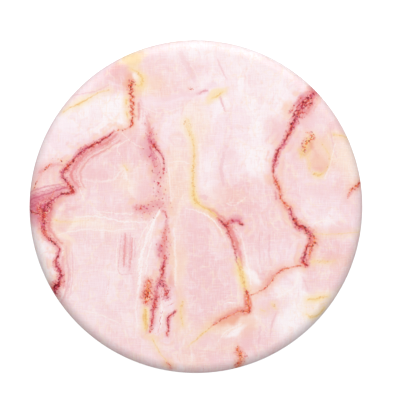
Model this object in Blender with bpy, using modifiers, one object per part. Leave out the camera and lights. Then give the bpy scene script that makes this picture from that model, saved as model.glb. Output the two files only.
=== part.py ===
"""A round phone grip: a disc-shaped top that locks into an accordion neck, on a stick-on base.

The model is the grip folded flat. Run it with: blender --background --python part.py
Lengths are in metres and +Z is up. The origin is the centre of the adhesive face, which goes on the phone,
and every joint's axis is the Z axis: the folds slide along it, and the top turns about it.
"""

import math

import bpy
from mathutils import Matrix, Vector

MM = 0.001

# Driving dimensions
TOP_RADIUS = 20.0 * MM
BASE_RADIUS = 19.6 * MM
FLAT_HEIGHT = 6.6 * MM
FACE_GAP = 0.04 * MM  # between two pieces that rest on each other
BURIED_DEPTH = 0.1 * MM  # how far a block that is added to a piece goes into it

# The adhesive, from the phone upwards
GEL_RADIUS = 17.6 * MM
GEL_TOP = 0.38 * MM
FILM_THICKNESS = 0.08 * MM
FOAM_THICKNESS = 0.32 * MM
ADHESIVE_STEP = 0.1 * MM  # how far the film and the foam stand out past the gel

# The base platform and the ring that clamps the accordion in it
FLOOR_THICKNESS = 0.8 * MM
LIP_DEPTH = 0.4 * MM
LIP_WIDTH = 1.7 * MM
BASE_RIM_TOP = 3.5 * MM
BASE_WELL_RADIUS = 18.0 * MM
BASE_SHOULDER_RADIUS = 0.6 * MM
BASE_FOOT_RADIUS = 0.9 * MM
FLANGE_THICKNESS = 0.6 * MM
CLAMP_THICKNESS = 0.8 * MM
CLAMP_EDGE_RADIUS = 0.3 * MM
CLAMP_GAP = 0.2 * MM  # between the ring and the accordion's largest wall
SNAP_COUNT = 4
SNAP_SIZE = Vector((0.65, 3.0, 0.35)) * MM
SNAP_CLEARANCE = Vector((0.1, 0.2, 0.1)) * MM

# The accordion: four standing walls, each smaller than the last, with a thin web between neighbours
WALL_OUTER_RADIUS = 16.4 * MM
WALL_PITCH = 2.35 * MM
WALL_THICKNESS = 0.9 * MM
WALL_LEAN = 0.5 * MM
WALL_EDGE_RADIUS = 0.25 * MM
WEB_THICKNESS = 0.4 * MM
FOLD_BOTTOM = 1.9 * MM
FOLD_TOP = 5.1 * MM

# The neck's socket and the turn lock in it
SOCKET_RADIUS = 8.2 * MM
SOCKET_LIP_RADIUS = 7.4 * MM
SOCKET_LIP_THICKNESS = 0.45 * MM
COLLAR_RIB_DEPTH = 0.3 * MM
COLLAR_RIB_HEIGHTS = (3.4 * MM, 4.05 * MM)
COLLAR_BORE_RADIUS = 4.9 * MM
COLLAR_LEDGE_BOTTOM = 3.4 * MM
COLLAR_CHAMBER_RADIUS = 7.1 * MM
COLLAR_SLOT_WIDTH = 4.0 * MM
COLLAR_SLOT_REACH = 6.95 * MM
STOP_WIDTH = 3.2 * MM
STOP_REACH = 5.4 * MM
STOP_ANGLES = (math.radians(135), math.radians(315))
HUB_RADIUS = 4.6 * MM
HUB_HOLLOW_RADIUS = 3.2 * MM
HUB_BOTTOM = 2.6 * MM
HUB_HOLLOW_TOP = 4.9 * MM
LUG_REACH = 6.7 * MM
LUG_WIDTH = 3.4 * MM
LUG_THICKNESS = 0.7 * MM

# The top: a printed cap with a moulded plate inside it
CAP_WALL = 0.9 * MM
CAP_RIM_BOTTOM = 4.0 * MM
CAP_RIM_WALL = 1.15 * MM
CAP_EDGE_RADIUS = 1.3 * MM
CAP_FOOT_RADIUS = 0.3 * MM
PLATE_THICKNESS = 0.45 * MM
SKIRT_BOTTOM = 4.5 * MM
SKIRT_WALL = 0.8 * MM

SEGMENTS = 64
MERGE_DISTANCE = 0.01 * MM
ROUND_STEPS = 4

# Worked out from the dimensions above
FILM_BOTTOM = GEL_TOP + FACE_GAP
FOAM_BOTTOM = FILM_BOTTOM + FILM_THICKNESS + FACE_GAP
PLATFORM_UNDERSIDE = FOAM_BOTTOM + FOAM_THICKNESS + FACE_GAP
PLATFORM_FLOOR = PLATFORM_UNDERSIDE + FLOOR_THICKNESS
FLANGE_BOTTOM = PLATFORM_FLOOR + FACE_GAP
FLANGE_TOP = FLANGE_BOTTOM + FLANGE_THICKNESS
CLAMP_BOTTOM = FLANGE_TOP + FACE_GAP
CLAMP_TOP = CLAMP_BOTTOM + CLAMP_THICKNESS
CLAMP_RADIUS = BASE_WELL_RADIUS - FACE_GAP
PLATE_TOP = FLAT_HEIGHT - CAP_WALL - FACE_GAP
PLATE_BOTTOM = PLATE_TOP - PLATE_THICKNESS
PLATE_RADIUS = TOP_RADIUS - CAP_RIM_WALL - FACE_GAP
COLLAR_RADIUS = SOCKET_RADIUS - FACE_GAP
COLLAR_BOTTOM = FOLD_BOTTOM + SOCKET_LIP_THICKNESS + FACE_GAP


def clear_scene():
    for obj in list(bpy.data.objects):
        bpy.data.objects.remove(obj, do_unlink=True)


def new_collection(name):
    collection = bpy.data.collections.new(name)
    bpy.context.scene.collection.children.link(collection)
    return collection


def new_material(name, colour, roughness, metallic=0.0):
    material = bpy.data.materials.new(name)
    material.use_nodes = True
    shader = material.node_tree.nodes["Principled BSDF"]
    shader.inputs["Base Color"].default_value = (*colour, 1.0)
    shader.inputs["Roughness"].default_value = roughness
    shader.inputs["Metallic"].default_value = metallic
    return material


def new_body(name, parent=None):
    """An empty on the Z axis. The pieces of one moving group are its children."""
    body = bpy.data.objects.new(name, None)
    GRIP.objects.link(body)
    body.parent = parent
    return body


def rounded(corners, closed):
    """(radius, height) points of an outline. A corner with a third value is rounded to that radius."""
    points = []
    for i, corner in enumerate(corners):
        at = Vector(corner[:2])
        fillet = corner[2] if len(corner) > 2 else 0.0
        at_an_end = not closed and i in (0, len(corners) - 1)
        if not fillet or at_an_end:
            points.append(at)
            continue
        before = (Vector(corners[i - 1][:2]) - at).normalized()
        after = (Vector(corners[(i + 1) % len(corners)][:2]) - at).normalized()
        half = before.angle(after) / 2
        centre = at + (before + after).normalized() * fillet / math.sin(half)
        first = (at + before * fillet / math.tan(half) - centre).normalized()
        last = (at + after * fillet / math.tan(half) - centre).normalized()
        for step in range(ROUND_STEPS + 1):
            points.append(centre + fillet * first.slerp(last, step / ROUND_STEPS))
    return points


def turned(name, corners, material, body, closed=True):
    """A piece turned about the Z axis from an outline that runs down its outer side.

    A closed outline makes a ring. An open one starts and ends on the axis and makes a disc or a dish.
    """
    points = rounded(corners, closed)
    edges = [(i, i + 1) for i in range(len(points) - 1)]
    if closed:
        edges.append((len(points) - 1, 0))
    mesh = bpy.data.meshes.new(name)
    mesh.from_pydata([(p.x, 0.0, p.y) for p in points], edges, [])
    obj = bpy.data.objects.new(name, mesh)
    GRIP.objects.link(obj)
    obj.parent = body
    obj.data.materials.append(material)
    screw = obj.modifiers.new("turn", "SCREW")
    screw.axis = "Z"
    screw.angle = math.tau
    screw.steps = SEGMENTS
    screw.render_steps = SEGMENTS
    screw.use_merge_vertices = True
    screw.merge_threshold = MERGE_DISTANCE
    screw.use_smooth_shade = False
    return obj


def block(name, size, centre, angle=0.0):
    """A helper box for a Boolean. It is centred at a place, then turned about the Z axis."""
    bpy.ops.mesh.primitive_cube_add(size=1.0)
    obj = bpy.context.object
    obj.name = name
    placed = Matrix.Translation(centre) @ Matrix.Diagonal((*size, 1.0))
    obj.data.transform(Matrix.Rotation(angle, 4, "Z") @ placed)
    for collection in list(obj.users_collection):
        collection.objects.unlink(obj)
    CUTTERS.objects.link(obj)
    obj.hide_render = True
    obj.display_type = "WIRE"
    return obj


def apply_block(obj, helper, operation):
    modifier = obj.modifiers.new(helper.name, "BOOLEAN")
    modifier.operation = operation
    modifier.object = helper


def wall_radius(index, height):
    """Outer radius of an accordion wall at a height. Wall 0 is the foot's, and wall 3 is the neck's."""
    share = (height - FOLD_BOTTOM) / (FOLD_TOP - FOLD_BOTTOM)
    return WALL_OUTER_RADIUS - index * WALL_PITCH - share * WALL_LEAN


def make_adhesive(body):
    """The gel that grips the phone, the film that carries it, and the foam tape that holds both up."""
    wide = GEL_RADIUS + ADHESIVE_STEP
    layers = (
        ("adhesive_gel_pad", GEL_RADIUS, 0.0, GEL_TOP, GEL),
        ("adhesive_film", wide, FILM_BOTTOM, FILM_BOTTOM + FILM_THICKNESS, FILM),
        ("adhesive_foam_tape", wide, FOAM_BOTTOM, FOAM_BOTTOM + FOAM_THICKNESS, FOAM),
    )
    for name, radius, bottom, top, material in layers:
        corners = [(0.0, top), (radius, top), (radius, bottom), (0.0, bottom)]
        turned(name, corners, material, body, closed=False)


def make_base_platform(body):
    """A dish with a lip round the adhesive under it and windows for the clamp ring's snaps."""
    lip_inner = BASE_RADIUS - LIP_WIDTH
    lip_bottom = PLATFORM_UNDERSIDE - LIP_DEPTH
    platform = turned(
        "base_platform",
        [
            (0.0, PLATFORM_FLOOR),
            (BASE_WELL_RADIUS, PLATFORM_FLOOR),
            (BASE_WELL_RADIUS, BASE_RIM_TOP),
            (BASE_RADIUS, BASE_RIM_TOP, BASE_SHOULDER_RADIUS),
            (BASE_RADIUS, lip_bottom, BASE_FOOT_RADIUS),
            (lip_inner, lip_bottom),
            (lip_inner, PLATFORM_UNDERSIDE),
            (0.0, PLATFORM_UNDERSIDE),
        ],
        SHELL_PLASTIC,
        body,
        closed=False,
    )
    window_size = SNAP_SIZE + 2 * SNAP_CLEARANCE
    for i, angle in enumerate(snap_angles()):
        window = block(f"snap_window_{i}", window_size, snap_centre(), angle)
        apply_block(platform, window, "DIFFERENCE")


def snap_angles():
    return [(i + 0.5) * math.tau / SNAP_COUNT for i in range(SNAP_COUNT)]


def snap_centre():
    """Middle of a snap before it is turned to its angle: half of it is buried in the clamp ring."""
    return Vector((CLAMP_RADIUS + SNAP_SIZE.x / 4, 0.0, CLAMP_BOTTOM + CLAMP_THICKNESS / 2))


def make_clamp_ring(body):
    inner = WALL_OUTER_RADIUS + CLAMP_GAP
    ring = turned(
        "clamp_ring",
        [
            (CLAMP_RADIUS, CLAMP_TOP),
            (CLAMP_RADIUS, CLAMP_BOTTOM),
            (inner, CLAMP_BOTTOM),
            (inner, CLAMP_TOP, CLAMP_EDGE_RADIUS),
        ],
        SHELL_PLASTIC,
        body,
    )
    for i, angle in enumerate(snap_angles()):
        apply_block(ring, block(f"snap_{i}", SNAP_SIZE, snap_centre(), angle), "UNION")


def make_accordion_foot(body):
    """The largest wall, with the flange that the clamp ring holds down."""
    turned(
        "accordion_foot",
        [
            (wall_radius(0, FOLD_TOP), FOLD_TOP, WALL_EDGE_RADIUS),
            (wall_radius(0, FLANGE_TOP), FLANGE_TOP),
            (CLAMP_RADIUS, FLANGE_TOP),
            (CLAMP_RADIUS, FLANGE_BOTTOM),
            (wall_radius(0, FLANGE_BOTTOM) - WALL_THICKNESS, FLANGE_BOTTOM),
            (wall_radius(0, FOLD_TOP) - WALL_THICKNESS, FOLD_TOP),
        ],
        ACCORDION_RUBBER,
        body,
    )


def make_tier(name, index, body):
    bottom = wall_radius(index, FOLD_BOTTOM)
    top = wall_radius(index, FOLD_TOP)
    corners = [
        (top, FOLD_TOP, WALL_EDGE_RADIUS),
        (bottom, FOLD_BOTTOM),
        (bottom - WALL_THICKNESS, FOLD_BOTTOM, WALL_EDGE_RADIUS),
        (top - WALL_THICKNESS, FOLD_TOP),
    ]
    turned(name, corners, ACCORDION_RUBBER, body)


def make_web(name, outer_index, body):
    """The thin web that hangs from the top of one wall, inside it, to the foot of the next wall."""
    top = wall_radius(outer_index, FOLD_TOP) - WALL_THICKNESS - FACE_GAP
    bottom = wall_radius(outer_index + 1, FOLD_BOTTOM) + FACE_GAP
    corners = [
        (top, FOLD_TOP),
        (bottom + WEB_THICKNESS, FOLD_BOTTOM),
        (bottom, FOLD_BOTTOM),
        (top - WEB_THICKNESS, FOLD_TOP),
    ]
    turned(name, corners, ACCORDION_RUBBER, body)


def make_neck(body):
    """The smallest wall. Its socket has a groove and a lip, which hold the lock collar."""
    groove = SOCKET_RADIUS + COLLAR_RIB_DEPTH
    groove_bottom, groove_top = COLLAR_RIB_HEIGHTS[0] - FACE_GAP, COLLAR_RIB_HEIGHTS[1] + FACE_GAP
    lip_top = FOLD_BOTTOM + SOCKET_LIP_THICKNESS
    turned(
        "accordion_neck",
        [
            (wall_radius(3, FOLD_TOP), FOLD_TOP, WALL_EDGE_RADIUS),
            (wall_radius(3, FOLD_BOTTOM), FOLD_BOTTOM),
            (SOCKET_LIP_RADIUS, FOLD_BOTTOM),
            (SOCKET_LIP_RADIUS, lip_top),
            (SOCKET_RADIUS, lip_top),
            (SOCKET_RADIUS, groove_bottom),
            (groove, groove_bottom),
            (groove, groove_top),
            (SOCKET_RADIUS, groove_top),
            (SOCKET_RADIUS, FOLD_TOP),
        ],
        ACCORDION_RUBBER,
        body,
    )


def make_lock_collar(body):
    """The socket's hard liner: a ledge with two slots for the lugs, over a chamber with two stops."""
    top = FOLD_TOP - FACE_GAP
    rib_radius = COLLAR_RADIUS + COLLAR_RIB_DEPTH
    rib_bottom, rib_top = COLLAR_RIB_HEIGHTS
    collar = turned(
        "lock_collar",
        [
            (COLLAR_RADIUS, top),
            (COLLAR_RADIUS, rib_top),
            (rib_radius, rib_top),
            (rib_radius, rib_bottom),
            (COLLAR_RADIUS, rib_bottom),
            (COLLAR_RADIUS, COLLAR_BOTTOM),
            (COLLAR_CHAMBER_RADIUS, COLLAR_BOTTOM),
            (COLLAR_CHAMBER_RADIUS, COLLAR_LEDGE_BOTTOM),
            (COLLAR_BORE_RADIUS, COLLAR_LEDGE_BOTTOM),
            (COLLAR_BORE_RADIUS, top),
        ],
        LOCK_PLASTIC,
        body,
    )
    ledge_middle = (COLLAR_LEDGE_BOTTOM + top) / 2
    slot_size = Vector((COLLAR_SLOT_WIDTH, 2 * COLLAR_SLOT_REACH, 2 * (top - COLLAR_LEDGE_BOTTOM)))
    slot = block("lug_slots", slot_size, Vector((0.0, 0.0, ledge_middle)))
    stop_length = COLLAR_CHAMBER_RADIUS + BURIED_DEPTH - STOP_REACH
    stop_height = COLLAR_LEDGE_BOTTOM - COLLAR_BOTTOM + BURIED_DEPTH
    stop_size = Vector((stop_length, STOP_WIDTH, stop_height))
    stop_centre = Vector((STOP_REACH + stop_length / 2, 0.0, COLLAR_BOTTOM + stop_height / 2))
    apply_block(collar, slot, "DIFFERENCE")
    for i, angle in enumerate(STOP_ANGLES):
        apply_block(collar, block(f"turn_stop_{i}", stop_size, stop_centre, angle), "UNION")


def make_button_plate(body):
    """The moulded plate inside the cap, with a skirt, and with the hub and two lugs of the turn lock."""
    skirt_inner = PLATE_RADIUS - SKIRT_WALL
    plate = turned(
        "button_plate",
        [
            (0.0, PLATE_TOP),
            (PLATE_RADIUS, PLATE_TOP),
            (PLATE_RADIUS, SKIRT_BOTTOM),
            (skirt_inner, SKIRT_BOTTOM),
            (skirt_inner, PLATE_BOTTOM),
            (HUB_RADIUS, PLATE_BOTTOM),
            (HUB_RADIUS, HUB_BOTTOM),
            (HUB_HOLLOW_RADIUS, HUB_BOTTOM),
            (HUB_HOLLOW_RADIUS, HUB_HOLLOW_TOP),
            (0.0, HUB_HOLLOW_TOP),
        ],
        LOCK_PLASTIC,
        body,
        closed=False,
    )
    hub_wall = (HUB_RADIUS + HUB_HOLLOW_RADIUS) / 2
    lug_size = Vector((LUG_REACH - hub_wall, LUG_WIDTH, LUG_THICKNESS))
    lug_centre = Vector(((LUG_REACH + hub_wall) / 2, 0.0, HUB_BOTTOM + LUG_THICKNESS / 2))
    for i, angle in enumerate((0.0, math.pi)):
        apply_block(plate, block(f"lug_{i}", lug_size, lug_centre, angle), "UNION")


def make_top_cap(body):
    inner = TOP_RADIUS - CAP_RIM_WALL
    ceiling = FLAT_HEIGHT - CAP_WALL
    turned(
        "top_cap",
        [
            (0.0, FLAT_HEIGHT),
            (TOP_RADIUS, FLAT_HEIGHT, CAP_EDGE_RADIUS),
            (TOP_RADIUS, CAP_RIM_BOTTOM, CAP_FOOT_RADIUS),
            (inner, CAP_RIM_BOTTOM),
            (inner, ceiling),
            (0.0, ceiling),
        ],
        PRINTED_PLASTIC,
        body,
        closed=False,
    )


clear_scene()
GRIP = new_collection("phone_grip")
CUTTERS = new_collection("cutters")
PRINTED_PLASTIC = new_material("printed_plastic", (0.93, 0.72, 0.73), 0.35)
LOCK_PLASTIC = new_material("lock_plastic", (0.86, 0.85, 0.84), 0.45)
SHELL_PLASTIC = new_material("shell_plastic", (0.90, 0.89, 0.87), 0.40)
ACCORDION_RUBBER = new_material("accordion_rubber", (0.88, 0.86, 0.84), 0.60)
GEL = new_material("gel", (0.05, 0.05, 0.055), 0.25)
FILM = new_material("film", (0.55, 0.56, 0.57), 0.30)
FOAM = new_material("foam", (0.08, 0.08, 0.085), 0.90)

base = new_body("base_body")
lower_tier = new_body("lower_tier_body", base)
middle_tier = new_body("middle_tier_body", lower_tier)
neck = new_body("neck_body", middle_tier)
top = new_body("top_body", neck)

make_adhesive(base)
make_base_platform(base)
make_accordion_foot(base)
make_clamp_ring(base)
make_web("fold_web_lower", 0, base)
make_tier("accordion_lower_tier", 1, lower_tier)
make_web("fold_web_middle", 1, lower_tier)
make_tier("accordion_middle_tier", 2, middle_tier)
make_web("fold_web_upper", 2, middle_tier)
make_neck(neck)
make_lock_collar(neck)
make_button_plate(top)
make_top_cap(top)
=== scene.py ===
"""Looks of a round phone grip: a marble-print top on a soft accordion and a stick-on base.

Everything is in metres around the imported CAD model, except the print, whose places are in millimetres
on the flattened print: the way out from the centre is measured along the surface, over the rim too.
"""

import math

import bmesh
import bpy
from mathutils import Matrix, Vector


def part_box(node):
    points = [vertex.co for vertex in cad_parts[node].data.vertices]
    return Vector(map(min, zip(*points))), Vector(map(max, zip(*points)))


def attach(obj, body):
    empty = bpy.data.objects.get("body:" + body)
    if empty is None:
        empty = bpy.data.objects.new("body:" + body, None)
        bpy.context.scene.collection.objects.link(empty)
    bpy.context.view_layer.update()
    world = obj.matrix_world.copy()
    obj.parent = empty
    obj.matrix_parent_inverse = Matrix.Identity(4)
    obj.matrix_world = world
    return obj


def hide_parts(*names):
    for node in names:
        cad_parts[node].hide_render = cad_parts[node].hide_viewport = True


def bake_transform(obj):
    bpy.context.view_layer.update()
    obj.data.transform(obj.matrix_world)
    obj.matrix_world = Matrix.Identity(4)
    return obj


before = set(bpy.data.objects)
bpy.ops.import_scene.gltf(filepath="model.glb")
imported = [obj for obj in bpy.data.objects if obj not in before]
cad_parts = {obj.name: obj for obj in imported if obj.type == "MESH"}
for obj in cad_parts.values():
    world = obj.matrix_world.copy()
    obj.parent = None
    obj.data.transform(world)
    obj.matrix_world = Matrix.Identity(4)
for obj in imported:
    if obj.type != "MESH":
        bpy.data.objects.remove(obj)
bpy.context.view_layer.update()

MM = 0.001
TURN = math.tau

# Sizes taken from the frame
CAP_LOW, CAP_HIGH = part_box("top_cap")
PLATE_LOW, PLATE_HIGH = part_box("button_plate")
BASE_LOW, BASE_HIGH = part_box("base_platform")
CLAMP_LOW, CLAMP_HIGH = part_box("clamp_ring")
FOOT_LOW, FOOT_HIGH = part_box("accordion_foot")
GEL_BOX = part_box("adhesive_gel_pad")
FILM_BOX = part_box("adhesive_film")
FOAM_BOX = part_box("adhesive_foam_tape")
FOAM_TOP = FOAM_BOX[1].z
COLLAR_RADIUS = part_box("lock_collar")[1].x
FOLD_TOP = FOOT_HIGH.z
FOLD_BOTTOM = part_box("accordion_lower_tier")[0].z

# How far moulded edges are rounded, from the crispest to the softest
SHARP = 0.05 * MM
CRISP = 0.1 * MM
EASED = 0.15 * MM
SOFT = 0.2 * MM

# The cap
CAP_WALL = 0.9 * MM
CAP_RIM_WALL = 1.15 * MM
CAP_EDGE = 1.3 * MM
CAP_FOOT = 0.3 * MM
CAP_INNER_EDGE = 0.08 * MM
PRINT_STEP = 0.135 * MM
PRINT_SEGMENTS = 480

# The plate under the cap, and its half of the turn lock
PLATE_THICKNESS = 0.45 * MM
SKIRT_WALL = 0.8 * MM
SKIRT_BOTTOM = 4.5 * MM
RIB_COUNT = 24
RIB_WIDTH = 0.45 * MM
RIB_INNER = 16.3 * MM
RIB_HIDDEN = 0.05 * MM
RIB_INNER_DROP = 0.15 * MM
RIB_FOOT_WIDTH = 0.3 * MM
RIB_FOOT_RISE = 0.15 * MM
HUB_RADIUS = 4.6 * MM
HUB_HOLLOW_RADIUS = 3.2 * MM
HUB_HOLLOW_TOP = 4.9 * MM
LUG_COUNT = 2
LUG_REACH = 6.7 * MM
LUG_WIDTH = 3.4 * MM
LUG_THICKNESS = 0.7 * MM
LUG_ROOT = 0.7 * MM
LUG_BEVEL_REACH = 0.2 * MM
LUG_BEVEL_RISE = 0.15 * MM

# The base and its ring
PIECE_GAP = 0.04 * MM
WELL_RADIUS = 18.0 * MM
LIP_INNER = 17.9 * MM
BASE_TOP_EDGE = 0.6 * MM
BASE_BOTTOM_EDGE = 0.9 * MM
CLAMP_INNER = 16.6 * MM
CLAMP_LEAD_IN = 0.3 * MM
SNAP_COUNT = 4
FIRST_SNAP = TURN / SNAP_COUNT / 2
SNAP_WIDTH = 3.0 * MM
SNAP_HEIGHT = 0.35 * MM
SNAP_ROOT = 0.2 * MM
SNAP_RAMP_REACH = 0.15 * MM
SNAP_RAMP_RISE = 0.1 * MM
SNAP_CATCH_DROP = 0.05 * MM
WINDOW_ROOM = 0.1 * MM
WINDOW_SIDE_ROOM = 0.2 * MM

# How far the edges of the adhesive's layers are rounded
GEL_EDGE = 0.12 * MM
FILM_EDGE = 0.02 * MM
FOAM_EDGE = 0.06 * MM

# The accordion
WALL_RADIUS = 16.4 * MM
WALL_PITCH = 2.35 * MM
WALL_THICKNESS = 0.9 * MM
WALL_LEAN = 0.5 * MM
CREST = 0.25 * MM
WEB_THICKNESS = 0.4 * MM
WEB_TUCK = 0.04 * MM
WEB_SET = 0.12 * MM
WEB_ROWS = 26
SOCKET_RADIUS = 8.2 * MM
SOCKET_LIP = 0.45 * MM
SOCKET_LIP_RADIUS = 7.4 * MM
COLLAR_GROOVE = (3.36 * MM, 4.09 * MM)

# How finely shapes are made
SEGMENTS = 200
ARC_STEP = 0.1 * MM
ARC_STEPS_AT_LEAST = 4
MERGE_DISTANCE = 0.0005 * MM
SHARP_ANGLE = 32.0
WEB_SHARP_ANGLE = 60.0

# The fine relief of each material
GRAIN_PER_METRE = 6000.0
RUBBER_GRAIN_PER_METRE = 4200.0
GEL_GRAIN_PER_METRE = 1400.0
FILM_GRAIN_PER_METRE = 3000.0
SHELL_GRAIN_DEPTH = 0.004 * MM
LOCK_GRAIN_DEPTH = 0.005 * MM
RUBBER_GRAIN_DEPTH = 0.008 * MM
GEL_GRAIN_DEPTH = 0.004 * MM
FILM_GRAIN_DEPTH = 0.002 * MM
FOAM_CELL_DEPTH = 0.05 * MM
PRINT_PEEL_DEPTH = 0.0016 * MM


# ---------------------------------------------------------------- nodes and trees


def add(tree, kind, inputs=None, **settings):
    """A node with its settings and inputs. An input is a value or another node's output."""
    node = tree.nodes.new(kind)
    for name, value in settings.items():
        setattr(node, name, value)
    for key, value in (inputs or {}).items():
        plug(tree, node.inputs[key], value)
    return node


def plug(tree, socket, value):
    if isinstance(value, bpy.types.NodeSocket):
        tree.links.new(value, socket)
    else:
        socket.default_value = value


def calc(tree, operation, *values):
    node = add(tree, "ShaderNodeMath", operation=operation)
    for socket, value in zip(node.inputs, values):
        plug(tree, socket, value)
    return node.outputs[0]


def vector_calc(tree, operation, *values, scale=None):
    node = add(tree, "ShaderNodeVectorMath", operation=operation)
    for socket, value in zip(node.inputs, values):
        plug(tree, socket, value)
    if scale is not None:
        plug(tree, node.inputs["Scale"], scale)
    return node.outputs["Value" if operation in ("LENGTH", "DOT_PRODUCT") else "Vector"]


def remap(tree, value, low, high, out_low=0.0, out_high=1.0, smooth=True):
    """value from low..high to out_low..out_high, held at both ends. The smooth kind holds them itself."""
    kind = "SMOOTHSTEP" if smooth else "LINEAR"
    inputs = {"Value": value, "From Min": low, "From Max": high, "To Min": out_low, "To Max": out_high}
    node = add(tree, "ShaderNodeMapRange", inputs, interpolation_type=kind, clamp=not smooth)
    return node.outputs["Result"]


def noise(tree, place, scale, detail=2.0, roughness=0.5, output="Fac"):
    inputs = {"Vector": place, "Scale": scale, "Detail": detail, "Roughness": roughness}
    return add(tree, "ShaderNodeTexNoise", inputs, noise_dimensions="3D").outputs[output]


def shift(tree, place, scale, amount, detail=2.0):
    """A vector that wanders by up to about amount each way."""
    wander = noise(tree, place, scale, detail, output="Color")
    centred = vector_calc(tree, "SUBTRACT", wander, (0.5, 0.5, 0.5))
    return vector_calc(tree, "SCALE", centred, scale=calc(tree, "MULTIPLY", amount, 2.0))


def mix(tree, share, below, above):
    """Colour above over colour below."""
    node = add(tree, "ShaderNodeMix", data_type="RGBA")
    factor, first, second = node.inputs[0], node.inputs[6], node.inputs[7]
    plug(tree, factor, share)
    plug(tree, first, below)
    plug(tree, second, above)
    return node.outputs[2]


def ramp_of(tree, value, *stops):
    """A colour from stops of (place, colour), stepping quickly from each to the next."""
    colour = stops[0][1]
    for place, paint in stops[1:]:
        colour = mix(tree, remap(tree, value, place - 0.03, place + 0.03), colour, paint)
    return colour


def new_group(name, kind, sockets):
    """A node group. sockets are (name, in or out, type, default) in order."""
    tree = bpy.data.node_groups.new(name, kind)
    for label, way, sort, default in sockets:
        socket = tree.interface.new_socket(name=label, in_out=way, socket_type=sort)
        if default is not None:
            socket.default_value = default
    ends = tree.nodes.new("NodeGroupInput"), tree.nodes.new("NodeGroupOutput")
    return tree, ends[0].outputs, ends[1].inputs


def use_group(tree, group, kind, **inputs):
    node = tree.nodes.new(kind)
    node.node_tree = group
    for name, value in inputs.items():
        plug(tree, node.inputs[name.replace("_", " ")], value)
    return node.outputs


def srgb(red, green, blue):
    """A colour given as 0 to 255 on a screen."""
    levels = [c / 255 for c in (red, green, blue)]
    return (*(c / 12.92 if c < 0.04 else ((c + 0.055) / 1.055) ** 2.4 for c in levels), 1.0)


def modifier_inputs(modifier, **values):
    for item in modifier.node_group.interface.items_tree:
        key = item.name.replace(" ", "_")
        if item.item_type == "SOCKET" and item.in_out == "INPUT" and key in values:
            modifier[item.identifier] = values[key]


def settle(obj, name):
    """A plain mesh object holding what obj's modifiers make. obj and its modifiers are removed."""
    graph = bpy.context.evaluated_depsgraph_get()
    mesh = bpy.data.meshes.new_from_object(obj.evaluated_get(graph), depsgraph=graph)
    bpy.data.objects.remove(obj, do_unlink=True)
    mesh.name = name
    used = [mesh.materials[face.material_index] for face in mesh.polygons]
    materials = [material for material in mesh.materials if material]
    mesh.materials.clear()
    for material in materials:
        mesh.materials.append(material)
    mesh.polygons.foreach_set("material_index", [materials.index(material) for material in used])
    piece = bpy.data.objects.new(name, mesh)
    bpy.context.scene.collection.objects.link(piece)
    return piece


# ---------------------------------------------------------------- turned shapes


def rounded(corners, closed):
    """(radius, height, fillet) corners to outline points, with each fillet an arc."""
    points = []
    for i, corner in enumerate(corners):
        at = Vector(corner[:2])
        fillet = corner[2] if len(corner) > 2 else 0.0
        if not fillet or (not closed and i in (0, len(corners) - 1)):
            points.append(at)
            continue
        before = (Vector(corners[i - 1][:2]) - at).normalized()
        after = (Vector(corners[(i + 1) % len(corners)][:2]) - at).normalized()
        half = before.angle(after) / 2
        centre = at + (before + after).normalized() * fillet / math.sin(half)
        first = (at + before * fillet / math.tan(half) - centre).normalized()
        last = (at + after * fillet / math.tan(half) - centre).normalized()
        steps = max(ARC_STEPS_AT_LEAST, round(fillet / ARC_STEP))
        for step in range(steps + 1):
            points.append(centre + fillet * first.slerp(last, step / steps))
    return points


def spaced(points, step):
    """The same outline with points added so that none is further than step from the next."""
    filled = [points[0]]
    for start, end in zip(points, points[1:]):
        pieces = max(1, math.ceil((end - start).length / step))
        filled += [start.lerp(end, i / pieces) for i in range(1, pieces + 1)]
    return filled


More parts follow.
